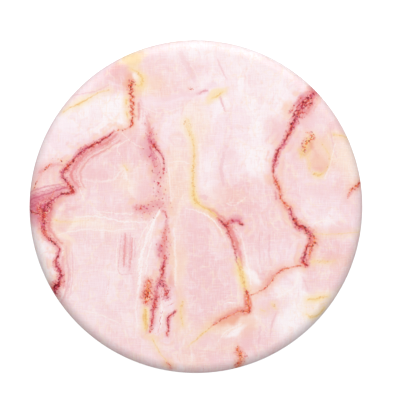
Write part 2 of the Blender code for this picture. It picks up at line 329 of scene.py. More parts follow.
def turned_tree():
    """Turns an outline in the XZ plane about Z, and keeps each point's place on the flattened print."""
    tree, given, made = new_group(
        "turned_shell",
        "GeometryNodeTree",
        [
            ("Outline", "INPUT", "NodeSocketGeometry", None),
            ("Segments", "INPUT", "NodeSocketInt", SEGMENTS),
            ("Closed", "INPUT", "NodeSocketInt", 1),
            ("Finish", "INPUT", "NodeSocketMaterial", None),
            ("Geometry", "OUTPUT", "NodeSocketGeometry", None),
        ],
    )

    def whole(operation, a, b):
        node = add(tree, "FunctionNodeIntegerMath", operation=operation)
        plug(tree, node.inputs[0], a)
        plug(tree, node.inputs[1], b)
        return node.outputs[0]

    count = add(tree, "GeometryNodeAttributeDomainSize", {"Geometry": given["Outline"]}, component="MESH")
    points = count.outputs["Point Count"]
    rows = whole("ADD", points, given["Closed"])
    columns = whole("ADD", given["Segments"], 1)
    grid = add(tree, "GeometryNodeMeshGrid", {"Vertices X": columns, "Vertices Y": rows})
    index = add(tree, "GeometryNodeInputIndex").outputs[0]
    column = whole("DIVIDE_FLOOR", index, rows)
    row = whole("MODULO", whole("MODULO", index, rows), points)
    position = add(tree, "GeometryNodeInputPosition").outputs[0]
    reach = add(tree, "GeometryNodeInputNamedAttribute", {"Name": "reach"}, data_type="FLOAT")
    outline = given["Outline"]
    corner = add(
        tree,
        "GeometryNodeSampleIndex",
        {"Geometry": outline, "Value": position, "Index": row},
        data_type="FLOAT_VECTOR",
    )
    along = add(
        tree,
        "GeometryNodeSampleIndex",
        {"Geometry": outline, "Value": reach.outputs["Attribute"], "Index": row},
        data_type="FLOAT",
    )
    angle = calc(tree, "MULTIPLY", calc(tree, "DIVIDE", column, given["Segments"]), TURN)
    way = add(
        tree,
        "ShaderNodeCombineXYZ",
        {"X": calc(tree, "COSINE", angle), "Y": calc(tree, "SINE", angle)},
    ).outputs[0]
    parts = add(tree, "ShaderNodeSeparateXYZ", {"Vector": corner.outputs[0]}).outputs
    flat = vector_calc(tree, "SCALE", way, scale=parts["X"])
    lift = add(tree, "ShaderNodeCombineXYZ", {"Z": parts["Z"]}).outputs[0]
    place = vector_calc(tree, "ADD", flat, lift)
    shaped = add(tree, "GeometryNodeSetPosition", {"Geometry": grid.outputs["Mesh"], "Position": place})
    print_place = vector_calc(tree, "SCALE", way, scale=along.outputs[0])
    stored = add(
        tree,
        "GeometryNodeStoreNamedAttribute",
        {"Geometry": shaped.outputs[0], "Name": "print_place", "Value": print_place},
        data_type="FLOAT_VECTOR",
        domain="POINT",
    )
    merged = add(
        tree,
        "GeometryNodeMergeByDistance",
        {"Geometry": stored.outputs[0], "Distance": MERGE_DISTANCE},
    )
    smooth = add(tree, "GeometryNodeSetShadeSmooth", {"Geometry": merged.outputs[0]})
    real = add(tree, "GeometryNodeRealizeInstances", {"Geometry": smooth.outputs[0]})
    painted = add(
        tree,
        "GeometryNodeSetMaterial",
        {"Geometry": real.outputs[0], "Material": given["Finish"]},
    )
    tree.links.new(painted.outputs[0], made["Geometry"])
    return tree


def turned(name, corners, finish, closed=True, segments=SEGMENTS, step=None):
    """A shell turned about Z. An open outline starts and ends on the axis."""
    points = rounded(corners, closed)
    if step:
        points = spaced(points, step)
    mesh = bpy.data.meshes.new(name)
    edges = [(i, i + 1) for i in range(len(points) - 1)]
    mesh.from_pydata([(p.x, 0.0, p.y) for p in points], edges, [])
    reach = [points[0].x / MM]
    for start, end in zip(points, points[1:]):
        reach.append(reach[-1] + (end - start).length / MM)
    mesh.attributes.new("reach", "FLOAT", "POINT").data.foreach_set("value", reach)
    obj = bpy.data.objects.new(name, mesh)
    bpy.context.scene.collection.objects.link(obj)
    modifier = obj.modifiers.new("turn", "NODES")
    modifier.node_group = TURNED_SHELL
    modifier_inputs(modifier, Segments=segments, Closed=int(closed), Finish=finish)
    return obj


def sharpen(piece, degrees=SHARP_ANGLE):
    """Keeps the edges between faces that meet at a steep angle crisp."""
    piece.data.set_sharp_from_angle(angle=math.radians(degrees))
    return piece


def finished(obj, name, body, slot, *nodes):
    """Settles a piece, hangs it on the body it rides on and hides the parts it stands for. slot is not used.
    """
    piece = sharpen(settle(obj, name))
    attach(piece, body)
    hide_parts(*nodes)
    return piece


# ---------------------------------------------------------------- the print's own lines and fields

# Paints of the print
GROUND = srgb(249, 215, 218)
WHITE = srgb(254, 248, 250)
LILAC = srgb(251, 231, 239)
BLUSH = srgb(250, 222, 225)
ROSE = srgb(246, 202, 206)
DUSK = srgb(236, 176, 184)
CORAL = srgb(243, 184, 186)
CREAM = srgb(253, 232, 214)
PEACH = srgb(249, 210, 188)
AMBER = srgb(251, 224, 166)
MAGENTA = srgb(224, 116, 148)
CRIMSON = srgb(206, 46, 66)
EMBER = srgb(232, 86, 50)
WINE = srgb(140, 4, 24)
SOOT = srgb(88, 4, 18)
GOLD = srgb(236, 172, 92)
SALMON = srgb(234, 138, 132)
APRICOT = srgb(243, 172, 142)
TANGERINE = srgb(238, 116, 62)
RASPBERRY = srgb(222, 108, 132)
CHAR = srgb(132, 16, 10)
FLAME = srgb(246, 142, 74)
OCHRE = srgb(204, 122, 62)
HONEY = srgb(247, 208, 138)
BRICK = srgb(190, 62, 62)
WATERMELON = srgb(230, 116, 120)

# Tints of the halos, stains and threads that go with the lines
GROUND_THREAD = srgb(226, 186, 190)
CRIMSON_HALO = srgb(241, 168, 172)
EMBER_HALO = srgb(248, 184, 140)
SOFT_RED = srgb(238, 146, 150)
PLUM_GLOW = srgb(240, 152, 170)
PLUM_CORE = srgb(210, 76, 112)
COOL_STAIN = srgb(230, 104, 124)
WARM_STAIN = srgb(234, 104, 90)
EMBER_GLOW = srgb(246, 148, 100)
GOLD_CORE = srgb(249, 214, 144)
GOLD_THREAD = srgb(236, 178, 108)
CRIMSON_THREAD = srgb(168, 22, 46)
EMBER_THREAD = srgb(204, 74, 36)

# Ground fields, laid one over another: colour, centre, half size, turn in degrees and strength, and
# for some of them how soft their edge is and the colour of the line round it
FIELD_SOFTNESS = 0.5
FIELDS = [
    (WHITE, (-11.6, 11.2), (4.4, 2.5), 14, 0.95, 0.2, CREAM),
    (LILAC, (-15.5, 8.0), (3.5, 3.0), 30, 0.8),
    (LILAC, (-12.0, 15.5), (3.5, 1.6), 35, 0.7),
    (ROSE, (-9.5, 15.2), (2.6, 1.6), 30, 0.7),
    (AMBER, (-7.6, 17.8), (2.3, 1.1), 38, 0.9, 0.3, None),
    (CORAL, (-9.3, 15.9), (1.6, 1.1), 25, 0.6, 0.3, None),
    (PEACH, (-5.6, 15.0), (3.0, 1.7), -10, 0.8),
    (AMBER, (-6.6, 14.4), (1.3, 1.2), 0, 0.7),
    (BLUSH, (-2.0, 17.0), (5.5, 2.5), 0, 0.6),
    (LILAC, (6.5, 12.5), (7.0, 6.5), -10, 0.85),
    (WHITE, (7.0, 14.5), (5.2, 4.2), -15, 0.75),
    (WHITE, (3.6, 10.4), (3.2, 2.4), 0, 0.55),
    (WHITE, (6.0, 19.3), (12.0, 1.7), 0, 0.9),
    (LILAC, (4.5, 6.5), (3.6, 5.5), -12, 0.8),
    (WHITE, (7.4, 7.6), (2.0, 4.6), 0, 0.8),
    (ROSE, (4.3, 6.0), (0.7, 3.6), 4, 0.6),
    (ROSE, (9.3, 9.6), (1.3, 1.2), 30, 0.5),
    (ROSE, (9.5, 8.3), (1.5, 1.6), 30, 0.5),
    (LILAC, (-2.6, 10.0), (1.6, 2.6), 0, 0.5),
    (CREAM, (-0.3, 9.5), (1.9, 3.0), 0, 0.75),
    (ROSE, (-2.3, 7.2), (1.1, 2.1), 0, 0.6, 0.15, None),
    (CREAM, (-2.2, 3.0), (1.8, 5.0), 0, 0.75),
    (PEACH, (-2.4, 1.2), (1.5, 2.6), 0, 0.6),
    (WHITE, (1.6, 3.6), (1.3, 2.8), 0, 0.6),
    (ROSE, (-10.6, 4.6), (4.2, 2.6), 20, 0.75, 0.2, CREAM),
    (ROSE, (-12.4, 4.0), (1.6, 1.6), 0, 0.6),
    (CORAL, (-16.2, 3.4), (1.3, 1.3), 0, 0.6),
    (CORAL, (-15.8, 0.0), (1.6, 1.2), 0, 0.6),
    (CREAM, (-8.0, 3.4), (2.0, 1.8), 0, 0.8),
    (LILAC, (-12.0, 1.6), (3.0, 1.5), 0, 0.5),
    (ROSE, (-12.0, -0.6), (3.5, 0.9), 0, 0.5),
    (ROSE, (-5.8, 4.4), (1.9, 3.6), 10, 0.6),
    (CORAL, (-5.4, 0.6), (2.6, 1.9), 10, 0.8),
    (CREAM, (-13.5, -2.3), (4.5, 1.0), -6, 0.75),
    (ROSE, (-10.0, -4.3), (5.0, 1.2), -6, 0.5),
    (BLUSH, (-12.4, -7.5), (3.8, 4.2), 0, 0.7),
    (LILAC, (-11.5, -10.5), (3.2, 3.0), 0, 0.5),
    (WHITE, (-18.0, -6.5), (1.5, 3.5), 18, 0.8),
    (ROSE, (-7.9, -6.2), (1.2, 2.6), 0, 0.55),
    (ROSE, (1.2, -6.8), (3.6, 8.2), 12, 0.9, 0.12, CREAM),
    (ROSE, (-0.2, -10.0), (2.4, 4.6), 0, 0.8, 0.3, None),
    (CREAM, (-2.0, -5.6), (0.9, 4.0), 0, 0.65),
    (CREAM, (-1.6, -14.5), (1.3, 2.6), 10, 0.7),
    (LILAC, (-3.6, -12.6), (1.3, 2.2), 0, 0.8),
    (BLUSH, (-9.0, -14.5), (4.0, 2.8), 0, 0.5),
    (PEACH, (3.4, -13.9), (3.4, 1.5), 26, 0.85),
    (CREAM, (4.5, -15.3), (3.0, 1.3), 10, 0.7),
    (BLUSH, (0.5, -17.5), (5.5, 1.8), 0, 0.6),
    (ROSE, (7.5, 0.0), (3.2, 3.2), 0, 0.6),
    (CORAL, (4.6, -0.2), (2.2, 1.2), 10, 0.5),
    (ROSE, (8.0, -5.0), (3.8, 3.2), 0, 0.5),
    (LILAC, (10.4, -5.6), (2.4, 1.7), 0, 0.8),
    (WHITE, (7.0, -8.0), (1.5, 1.8), 0, 0.6),
    (CORAL, (8.2, -8.4), (1.3, 1.1), 20, 0.5),
    (WHITE, (10.6, -12.2), (4.4, 2.9), 35, 0.85, 0.25, None),
    (WHITE, (13.5, -15.0), (3.5, 2.4), 45, 0.8),
    (BLUSH, (7.4, -15.5), (2.6, 3.0), 0, 0.6),
    (ROSE, (5.0, -17.0), (4.0, 1.8), 15, 0.75),
    (ROSE, (-0.5, -18.2), (2.6, 1.6), 0, 0.5),
    (ROSE, (8.4, -10.4), (1.5, 1.2), 30, 0.5),
    (CORAL, (5.4, 1.6), (2.6, 1.8), 0, 0.65),
    (ROSE, (-8.2, 7.8), (1.2, 1.5), 0, 0.6),
    (ROSE, (-10.6, 4.8), (3.0, 1.8), 20, 0.5),
    (ROSE, (-12.8, -3.6), (2.4, 1.2), 0, 0.7),
    (ROSE, (-2.0, -4.4), (1.0, 1.8), 0, 0.6),
    (ROSE, (2.2, -3.0), (1.3, 2.4), 20, 0.5),
    (CORAL, (7.8, -7.6), (1.6, 1.3), 30, 0.5),
    (PEACH, (6.6, -9.8), (1.0, 1.8), 10, 0.6),
    (ROSE, (9.4, -12.0), (1.9, 1.0), 20, 0.7),
    (PEACH, (6.0, -14.4), (1.5, 1.2), 0, 0.75),
    (PEACH, (3.2, -16.6), (2.0, 1.0), 10, 0.6),
    (PEACH, (-0.6, -18.2), (2.0, 1.2), 0, 0.6),
    (CORAL, (16.2, -6.0), (1.1, 0.9), 0, 0.6),
    (ROSE, (12.2, 5.4), (1.2, 2.4), 0, 0.7),
    (LILAC, (11.6, -8.6), (1.3, 1.0), 0, 0.7),
    (WHITE, (-1.0, 18.2), (4.0, 1.4), 0, 0.45),
    (WHITE, (7.0, 16.6), (3.0, 1.5), -15, 0.5),
    (WHITE, (-13.6, 11.4), (2.6, 1.8), 30, 0.6),
    (LILAC, (-16.4, 9.6), (1.6, 1.8), 30, 0.7),
    (ROSE, (17.8, 1.6), (1.8, 2.6), 0, 0.6),
    (CORAL, (18.0, -5.8), (1.4, 1.8), 0, 0.6),
    (CORAL, (14.4, 9.6), (2.0, 1.3), -35, 0.6),
    (ROSE, (8.8, -14.0), (1.0, 2.6), 12, 0.5),
    (LILAC, (13.8, 0.6), (2.6, 4.4), 10, 0.55),
    (ROSE, (12.4, 4.4), (1.8, 3.8), 0, 0.5),
    (PEACH, (15.2, 6.8), (3.0, 2.2), -20, 0.75),
    (CORAL, (14.6, 5.2), (1.2, 1.4), 0, 0.6),
    (CREAM, (18.3, 6.0), (1.7, 3.4), 12, 0.8),
    (ROSE, (16.6, 9.6), (2.4, 1.6), -40, 0.6),
    (LILAC, (17.5, -2.0), (2.0, 3.5), 0, 0.7),
    (WHITE, (16.2, -2.0), (1.8, 0.8), -15, 0.6),
    (CORAL, (15.6, -5.2), (2.4, 1.7), 0, 0.7),
    (PEACH, (16.2, -6.8), (2.6, 1.2), 0, 0.5),
    (ROSE, (15.5, -8.6), (2.5, 1.6), 0, 0.5),
    (CREAM, (15.0, -11.4), (2.6, 1.4), 15, 0.8),
]

# Stains, laid over the halos of the lines
STAINS = [
    (CORAL, (-18.2, 4.0), (1.6, 1.2), 30, 0.35),
    (SALMON, (-16.6, 0.6), (1.3, 0.6), 30, 0.45),
    (RASPBERRY, (12.05, 10.8), (0.55, 1.3), -22, 0.6),
    (CORAL, (13.2, 10.2), (0.9, 1.2), 0, 0.6),
    (RASPBERRY, (-19.6, 0.4), (2.2, 1.3), 0, 0.8),
    (RASPBERRY, (-17.4, 1.5), (2.4, 0.6), 8, 0.6),
    (MAGENTA, (-19.8, -1.2), (1.2, 1.0), 0, 0.5),
    (RASPBERRY, (-18.2, -0.6), (1.2, 1.0), 0, 0.7),
    (RASPBERRY, (-18.4, -11.2), (1.6, 0.9), 40, 0.7),
    (RASPBERRY, (13.0, 12.4), (1.5, 0.75), 50, 0.75),
    (RASPBERRY, (14.9, 14.4), (1.2, 0.8), 45, 0.6),
    (CORAL, (13.7, 12.0), (1.6, 0.7), 55, 0.6),
    (PEACH, (10.9, 11.5), (0.7, 1.1), 0, 0.6),
    (ROSE, (10.4, 9.0), (1.2, 1.2), 30, 0.6),
    (MAGENTA, (-5.8, 7.1), (1.0, 1.3), 0, 0.32),
    (SALMON, (-4.8, 4.6), (0.8, 1.8), 12, 0.2),
    (SALMON, (-5.6, 0.0), (1.7, 0.6), 10, 0.2),
    (MAGENTA, (4.8, -1.6), (0.8, 0.5), 0, 0.4),
    (APRICOT, (4.5, -13.1), (2.3, 0.66), 24, 0.8, 0.35, None),
    (TANGERINE, (6.0, -11.6), (0.52, 1.2), -6, 0.95, 0.4, None),
    (SALMON, (-2.8, -8.9), (0.4, 0.9), 0, 0.45),
    (LILAC, (-3.7, -11.6), (1.0, 1.2), 0, 0.6),
    (MAGENTA, (-4.4, -5.4), (0.5, 1.2), 0, 0.35),
    (TANGERINE, (-5.75, -10.1), (0.42, 1.1), 0, 0.85, 0.4, None),
    (GOLD, (-6.0, -13.5), (0.22, 1.2), 0, 0.8),
    (CRIMSON, (-18.15, -0.35), (0.8, 0.7), 0, 0.95),
    (SALMON, (-17.9, -1.9), (0.7, 1.1), 0, 0.5),
    (PEACH, (-15.4, -5.4), (0.45, 1.7), 0, 0.7),
    (CREAM, (-15.6, -3.4), (1.3, 0.4), -35, 0.7),
    (AMBER, (5.5, -8.4), (0.4, 1.7), 15, 0.7),
    (AMBER, (-0.2, 1.0), (0.5, 1.2), 20, 0.6),
    (APRICOT, (2.5, -1.0), (1.1, 0.4), -35, 0.6),
    (CORAL, (-14.6, 4.0), (0.6, 1.4), 0, 0.5),
    (LILAC, (-2.3, 13.0), (4.6, 0.5), 9, 0.5),
    (ROSE, (-1.6, 13.3), (3.4, 0.3), 9, 0.3, 0.35, None),
    (APRICOT, (13.4, 7.4), (0.9, 0.45), 50, 0.6),
    (APRICOT, (14.8, 5.2), (0.9, 1.1), 20, 0.5, 0.3, None),
    (PEACH, (14.6, 6.6), (1.8, 1.6), -30, 0.6, 0.3, None),
    (APRICOT, (8.6, -9.0), (1.3, 0.5), 48, 0.4),
    (APRICOT, (-7.9, 15.0), (0.5, 1.0), 0, 0.6),
    (CORAL, (14.2, -3.6), (0.9, 0.9), 0, 0.3),
    (CORAL, (17.0, -2.8), (1.4, 0.7), 0, 0.4),
    (PEACH, (3.3, 1.2), (2.6, 1.2), 0, 0.3),
    (PEACH, (-1.9, -12.2), (0.7, 2.6), 0, 0.6),
    (PEACH, (-2.2, -6.8), (0.8, 2.6), 0, 0.5),
    (CORAL, (6.2, -15.4), (0.8, 1.7), 0, 0.4),
    (GOLD, (13.1, 6.9), (0.5, 0.9), -35, 0.45),
    (CORAL, (-8.2, 8.0), (1.0, 1.2), 0, 0.35),
    (LILAC, (-3.6, 8.2), (0.6, 1.4), 0, 0.45),
    (WHITE, (-6.3, 10.2), (0.9, 1.2), 0, 0.35),
    (WHITE, (0.0, 14.6), (1.8, 0.8), 9, 0.35),
    (WHITE, (-16.2, 10.0), (1.2, 1.2), 30, 0.4),
    (ROSE, (12.0, 7.0), (0.8, 1.8), 0, 0.4),
    (LILAC, (14.2, 9.6), (1.2, 1.3), 0, 0.45),
    (ROSE, (-12.0, 4.0), (1.3, 1.2), 0, 0.5),
    (ROSE, (-6.2, 2.0), (1.0, 1.2), 0, 0.45),
    (SALMON, (-16.0, -2.0), (0.8, 0.8), 0, 0.25),
    (ROSE, (15.0, 2.0), (1.8, 1.0), 0, 0.45),
    (CORAL, (16.0, -6.0), (1.0, 0.8), 0, 0.45),
    (WHITE, (12.1, -8.2), (0.9, 0.8), 0, 0.45),
    (ROSE, (8.0, -12.0), (1.0, 0.8), 0, 0.4),
    (PEACH, (6.2, -14.0), (0.8, 0.8), 0, 0.5),
    (ROSE, (2.0, -16.0), (2.4, 0.8), 0, 0.45),
    (ROSE, (-4.0, -18.0), (1.0, 0.8), 0, 0.4),
    (WHITE, (6.3, -18.0), (0.8, 0.8), 0, 0.3),
    (AMBER, (2.4, 13.2), (1.5, 0.45), 28, 0.6),
    (MAGENTA, (2.2, 14.3), (0.6, 0.5), 0, 0.12),
    (WHITE, (6.7, -8.3), (1.3, 0.45), -40, 0.75),
    (WHITE, (4.6, -14.8), (1.5, 0.35), 22, 0.75),
    (AMBER, (-7.4, 17.5), (1.1, 1.2), -20, 0.6),
    (CORAL, (-8.9, 15.9), (0.9, 0.8), 0, 0.5),
    (WHITE, (-7.1, 15.3), (0.4, 0.6), 20, 0.5),
    (APRICOT, (-8.3, 14.7), (0.7, 0.45), 0, 0.55),
    (PEACH, (-4.9, 14.9), (1.1, 0.8), 0, 0.4),
    (ROSE, (-10.6, 2.0), (0.8, 1.0), 0, 0.35),
    (ROSE, (2.6, 3.4), (0.8, 1.6), 0, 0.3),
    (ROSE, (0.0, -2.0), (0.8, 1.6), 0, 0.35),
    (ROSE, (4.0, -2.0), (0.6, 1.0), 0, 0.2),
    (ROSE, (6.0, -16.4), (0.8, 0.9), 0, 0.5),
    (LILAC, (-3.9, -9.9), (0.4, 0.6), 0, 0.5),
]

# Routes of the print's lines, for each paint: (x, y, half width, strength) along each line
CRIMSON_LINES = [
    [(-9.7, 9.1, 0.05, 0.5), (-10.7, 8.2, 0.1, 0.9), (-12.1, 7.5, 0.14, 1.0), (-13.7, 6.5, 0.17, 1.0),
     (-14.4, 5.7, 0.13, 0.8), (-15.4, 4.7, 0.18, 0.9), (-15.9, 3.8, 0.16, 0.8), (-15.5, 3.0, 0.16, 0.8),
     (-14.9, 2.3, 0.16, 0.9), (-14.7, 1.7, 0.16, 1.0), (-15.8, 1.5, 0.1, 1.0), (-16.9, 0.9, 0.1, 1.0),
     (-17.8, 0.3, 0.3, 0.9), (-18.2, -0.5, 0.5, 0.9), (-18.3, -1.6, 0.34, 0.7), (-18.2, -2.7, 0.24, 0.7),
     (-17.7, -3.7, 0.18, 0.7), (-16.7, -4.5, 0.14, 0.7), (-16.3, -5.2, 0.12, 0.65), (-16.6, -6.1, 0.12, 0.7),
     (-16.7, -6.9, 0.18, 1.0), (-16.2, -7.8, 0.16, 0.95), (-16.2, -8.7, 0.22, 0.95), (-16.7, -9.5, 0.3, 1.0),
     (-17.3, -10.3, 0.36, 1.0), (-18.6, -11.3, 0.3, 1.0)],
    [(-18.0, -0.9, 0.08, 0.8), (-19.1, -0.8, 0.08, 0.9), (-20.4, -0.4, 0.14, 0.8)],
    [(-18.6, -0.1, 0.26, 1.0), (-18.1, -0.5, 0.34, 1.0), (-17.8, -0.6, 0.2, 1.0)],
    [(-6.0, 9.9, 0.14, 0.2), (-5.5, 9.0, 0.26, 0.25), (-5.3, 8.0, 0.3, 0.4), (-5.0, 7.3, 0.18, 0.7),
     (-4.4, 6.6, 0.1, 0.85), (-3.95, 5.9, 0.08, 0.6), (-3.75, 4.9, 0.1, 0.35), (-4.1, 3.7, 0.24, 0.2),
     (-4.6, 2.6, 0.3, 0.16), (-4.3, 1.4, 0.26, 0.12)],
    [(-5.9, 6.6, 0.3, 0.14), (-4.9, 5.4, 0.3, 0.2), (-4.7, 4.2, 0.26, 0.2), (-5.0, 3.0, 0.2, 0.12)],
    [(-7.3, -0.1, 0.12, 0.35), (-6.4, -0.3, 0.34, 0.28), (-5.4, -0.2, 0.4, 0.2), (-4.6, 0.2, 0.36, 0.16),
     (-3.6, 0.5, 0.26, 0.12)],
    [(-3.9, -0.6, 0.08, 0.5), (-3.5, -1.2, 0.08, 0.3), (-3.5, -2.2, 0.14, 0.3), (-3.65, -3.0, 0.24, 0.28),
     (-3.75, -4.0, 0.32, 0.24), (-3.8, -5.4, 0.34, 0.22), (-3.7, -6.1, 0.2, 0.4), (-3.9, -7.2, 0.13, 0.9),
     (-4.0, -8.1, 0.14, 0.85), (-4.3, -9.0, 0.2, 0.8), (-3.7, -9.6, 0.2, 0.5), (-3.4, -10.7, 0.2, 0.6)],
    [(-4.7, -9.5, 0.2, 0.5), (-4.6, -10.6, 0.2, 0.4), (-4.9, -11.5, 0.24, 0.6), (-5.1, -12.6, 0.14, 0.5),
     (-5.2, -13.8, 0.16, 0.5), (-5.5, -15.0, 0.12, 0.3)],
    [(-2.5, -12.5, 0.08, 0.8), (-3.0, -13.0, 0.1, 0.8), (-3.4, -13.5, 0.1, 0.8), (-3.3, -14.4, 0.1, 0.7),
     (-3.5, -15.5, 0.07, 0.5)],
    [(15.5, 15.0, 0.16, 0.35), (14.4, 13.8, 0.2, 0.5), (13.4, 12.9, 0.24, 0.85), (12.6, 12.0, 0.2, 0.95),
     (12.1, 11.0, 0.24, 1.0), (11.8, 10.2, 0.22, 1.0), (11.3, 9.1, 0.18, 1.0), (10.6, 7.8, 0.15, 0.95),
     (9.9, 6.8, 0.14, 1.0), (9.5, 5.6, 0.14, 1.0), (9.3, 4.8, 0.13, 0.8), (9.2, 3.6, 0.06, 0.4)],
    [(13.9, 12.4, 0.1, 0.5), (13.2, 11.6, 0.14, 0.35), (12.6, 10.6, 0.1, 0.3)],
    [(12.6, 13.0, 0.1, 0.5), (11.8, 12.1, 0.14, 0.3), (11.3, 11.2, 0.1, 0.5)],
    [(11.2, -0.3, 0.1, 0.8), (11.6, -1.3, 0.16, 0.95), (12.1, -2.2, 0.24, 1.0), (12.9, -2.7, 0.22, 0.9),
     (13.6, -3.2, 0.22, 0.7), (13.6, -4.1, 0.13, 0.6), (13.2, -4.9, 0.13, 0.8), (13.1, -5.7, 0.12, 0.8),
     (12.8, -6.5, 0.18, 1.0), (13.3, -7.0, 0.13, 0.8)],
    [(2.5, -1.3, 0.06, 0.5), (3.2, -1.95, 0.14, 0.8), (3.7, -2.5, 0.16, 0.8), (4.1, -3.6, 0.12, 0.6),
     (4.6, -5.1, 0.1, 0.5), (4.9, -6.5, 0.08, 0.35), (5.3, -7.6, 0.06, 0.2)],
    [(3.7, -2.2, 0.12, 0.7), (4.4, -1.6, 0.26, 0.4), (5.0, -1.8, 0.2, 0.4), (5.5, -2.2, 0.08, 0.9)],
]
EMBER_LINES = [
    [(-7.6, 14.8, 0.2, 0.7), (-7.9, 14.2, 0.14, 0.9), (-7.5, 13.85, 0.08, 1.0), (-7.9, 13.5, 0.08, 1.0),
     (-7.5, 13.1, 0.08, 1.0), (-7.85, 12.75, 0.1, 1.0), (-7.45, 12.4, 0.09, 1.0), (-7.8, 12.0, 0.08, 1.0),
     (-7.5, 11.6, 0.08, 1.0), (-7.75, 11.2, 0.08, 1.0), (-7.45, 10.8, 0.08, 1.0), (-7.7, 10.4, 0.08, 1.0),
     (-7.5, 10.0, 0.08, 1.0), (-7.7, 9.6, 0.07, 0.8), (-8.4, 9.25, 0.06, 0.4), (-9.4, 9.1, 0.05, 0.4)],
    [(-5.6, -9.0, 0.2, 0.6), (-5.7, -9.9, 0.26, 0.8), (-5.8, -10.7, 0.32, 1.0), (-5.9, -11.3, 0.22, 0.8)],
    [(5.9, -9.8, 0.1, 0.6), (6.2, -10.6, 0.14, 1.0), (6.2, -11.6, 0.12, 0.5), (6.3, -12.5, 0.14, 0.9),
     (5.3, -12.5, 0.1, 0.6), (4.1, -13.0, 0.07, 0.6), (2.8, -13.7, 0.06, 0.8), (1.6, -14.5, 0.05, 0.3)],
    [(12.6, -7.05, 0.05, 0.9), (11.4, -7.25, 0.05, 0.6), (10.4, -7.5, 0.08, 0.9), (9.6, -8.1, 0.07, 0.7),
     (9.0, -9.0, 0.06, 0.7), (8.3, -9.7, 0.05, 0.6), (7.2, -10.3, 0.05, 0.5), (6.4, -10.6, 0.06, 0.6)],
    [(9.2, 3.7, 0.05, 0.5), (9.6, 2.9, 0.12, 0.9), (10.0, 2.1, 0.09, 0.9), (10.1, 1.1, 0.08, 0.9),
     (10.5, 0.5, 0.09, 0.9), (11.1, -0.1, 0.12, 0.9)],
    [(20.6, 3.2, 0.1, 0.9), (19.4, 2.6, 0.1, 0.9), (18.8, 2.2, 0.1, 0.8), (18.3, 1.7, 0.06, 0.5),
     (18.1, 1.0, 0.04, 0.3)],
    [(5.0, -16.6, 0.1, 0.3), (5.0, -17.3, 0.16, 0.8), (5.4, -17.9, 0.24, 0.7), (5.2, -18.8, 0.24, 0.7),
     (5.0, -19.9, 0.2, 0.6)],
    [(-3.3, -18.8, 0.07, 0.9), (-3.1, -19.0, 0.07, 0.9)],
    [(13.9, -3.4, 0.1, 0.5), (14.2, -4.0, 0.14, 0.6), (13.8, -4.9, 0.12, 0.6), (13.5, -6.1, 0.12, 0.6)],
    [(-16.9, 1.9, 0.06, 0.3), (-18.3, -1.9, 0.16, 0.6), (-17.9, -3.1, 0.12, 0.5)],
    [(-0.8, 14.1, 0.08, 0.35), (-0.4, 14.0, 0.05, 0.2)],
    [(-17.9, 4.5, 0.08, 0.7), (-18.2, 4.2, 0.08, 0.2), (-18.9, 3.2, 0.06, 0.3), (-19.4, 2.2, 0.06, 0.7)],
    [(-15.9, 5.5, 0.1, 0.2), (-17.0, 5.4, 0.12, 0.16), (-17.9, 4.6, 0.1, 0.2)],
    [(12.9, 6.7, 0.12, 0.4), (13.1, 7.5, 0.2, 0.5), (13.9, 8.2, 0.14, 0.6)],
    [(13.2, 8.9, 0.06, 0.4), (13.9, 8.5, 0.1, 0.7), (14.1, 8.0, 0.06, 0.5)],
]
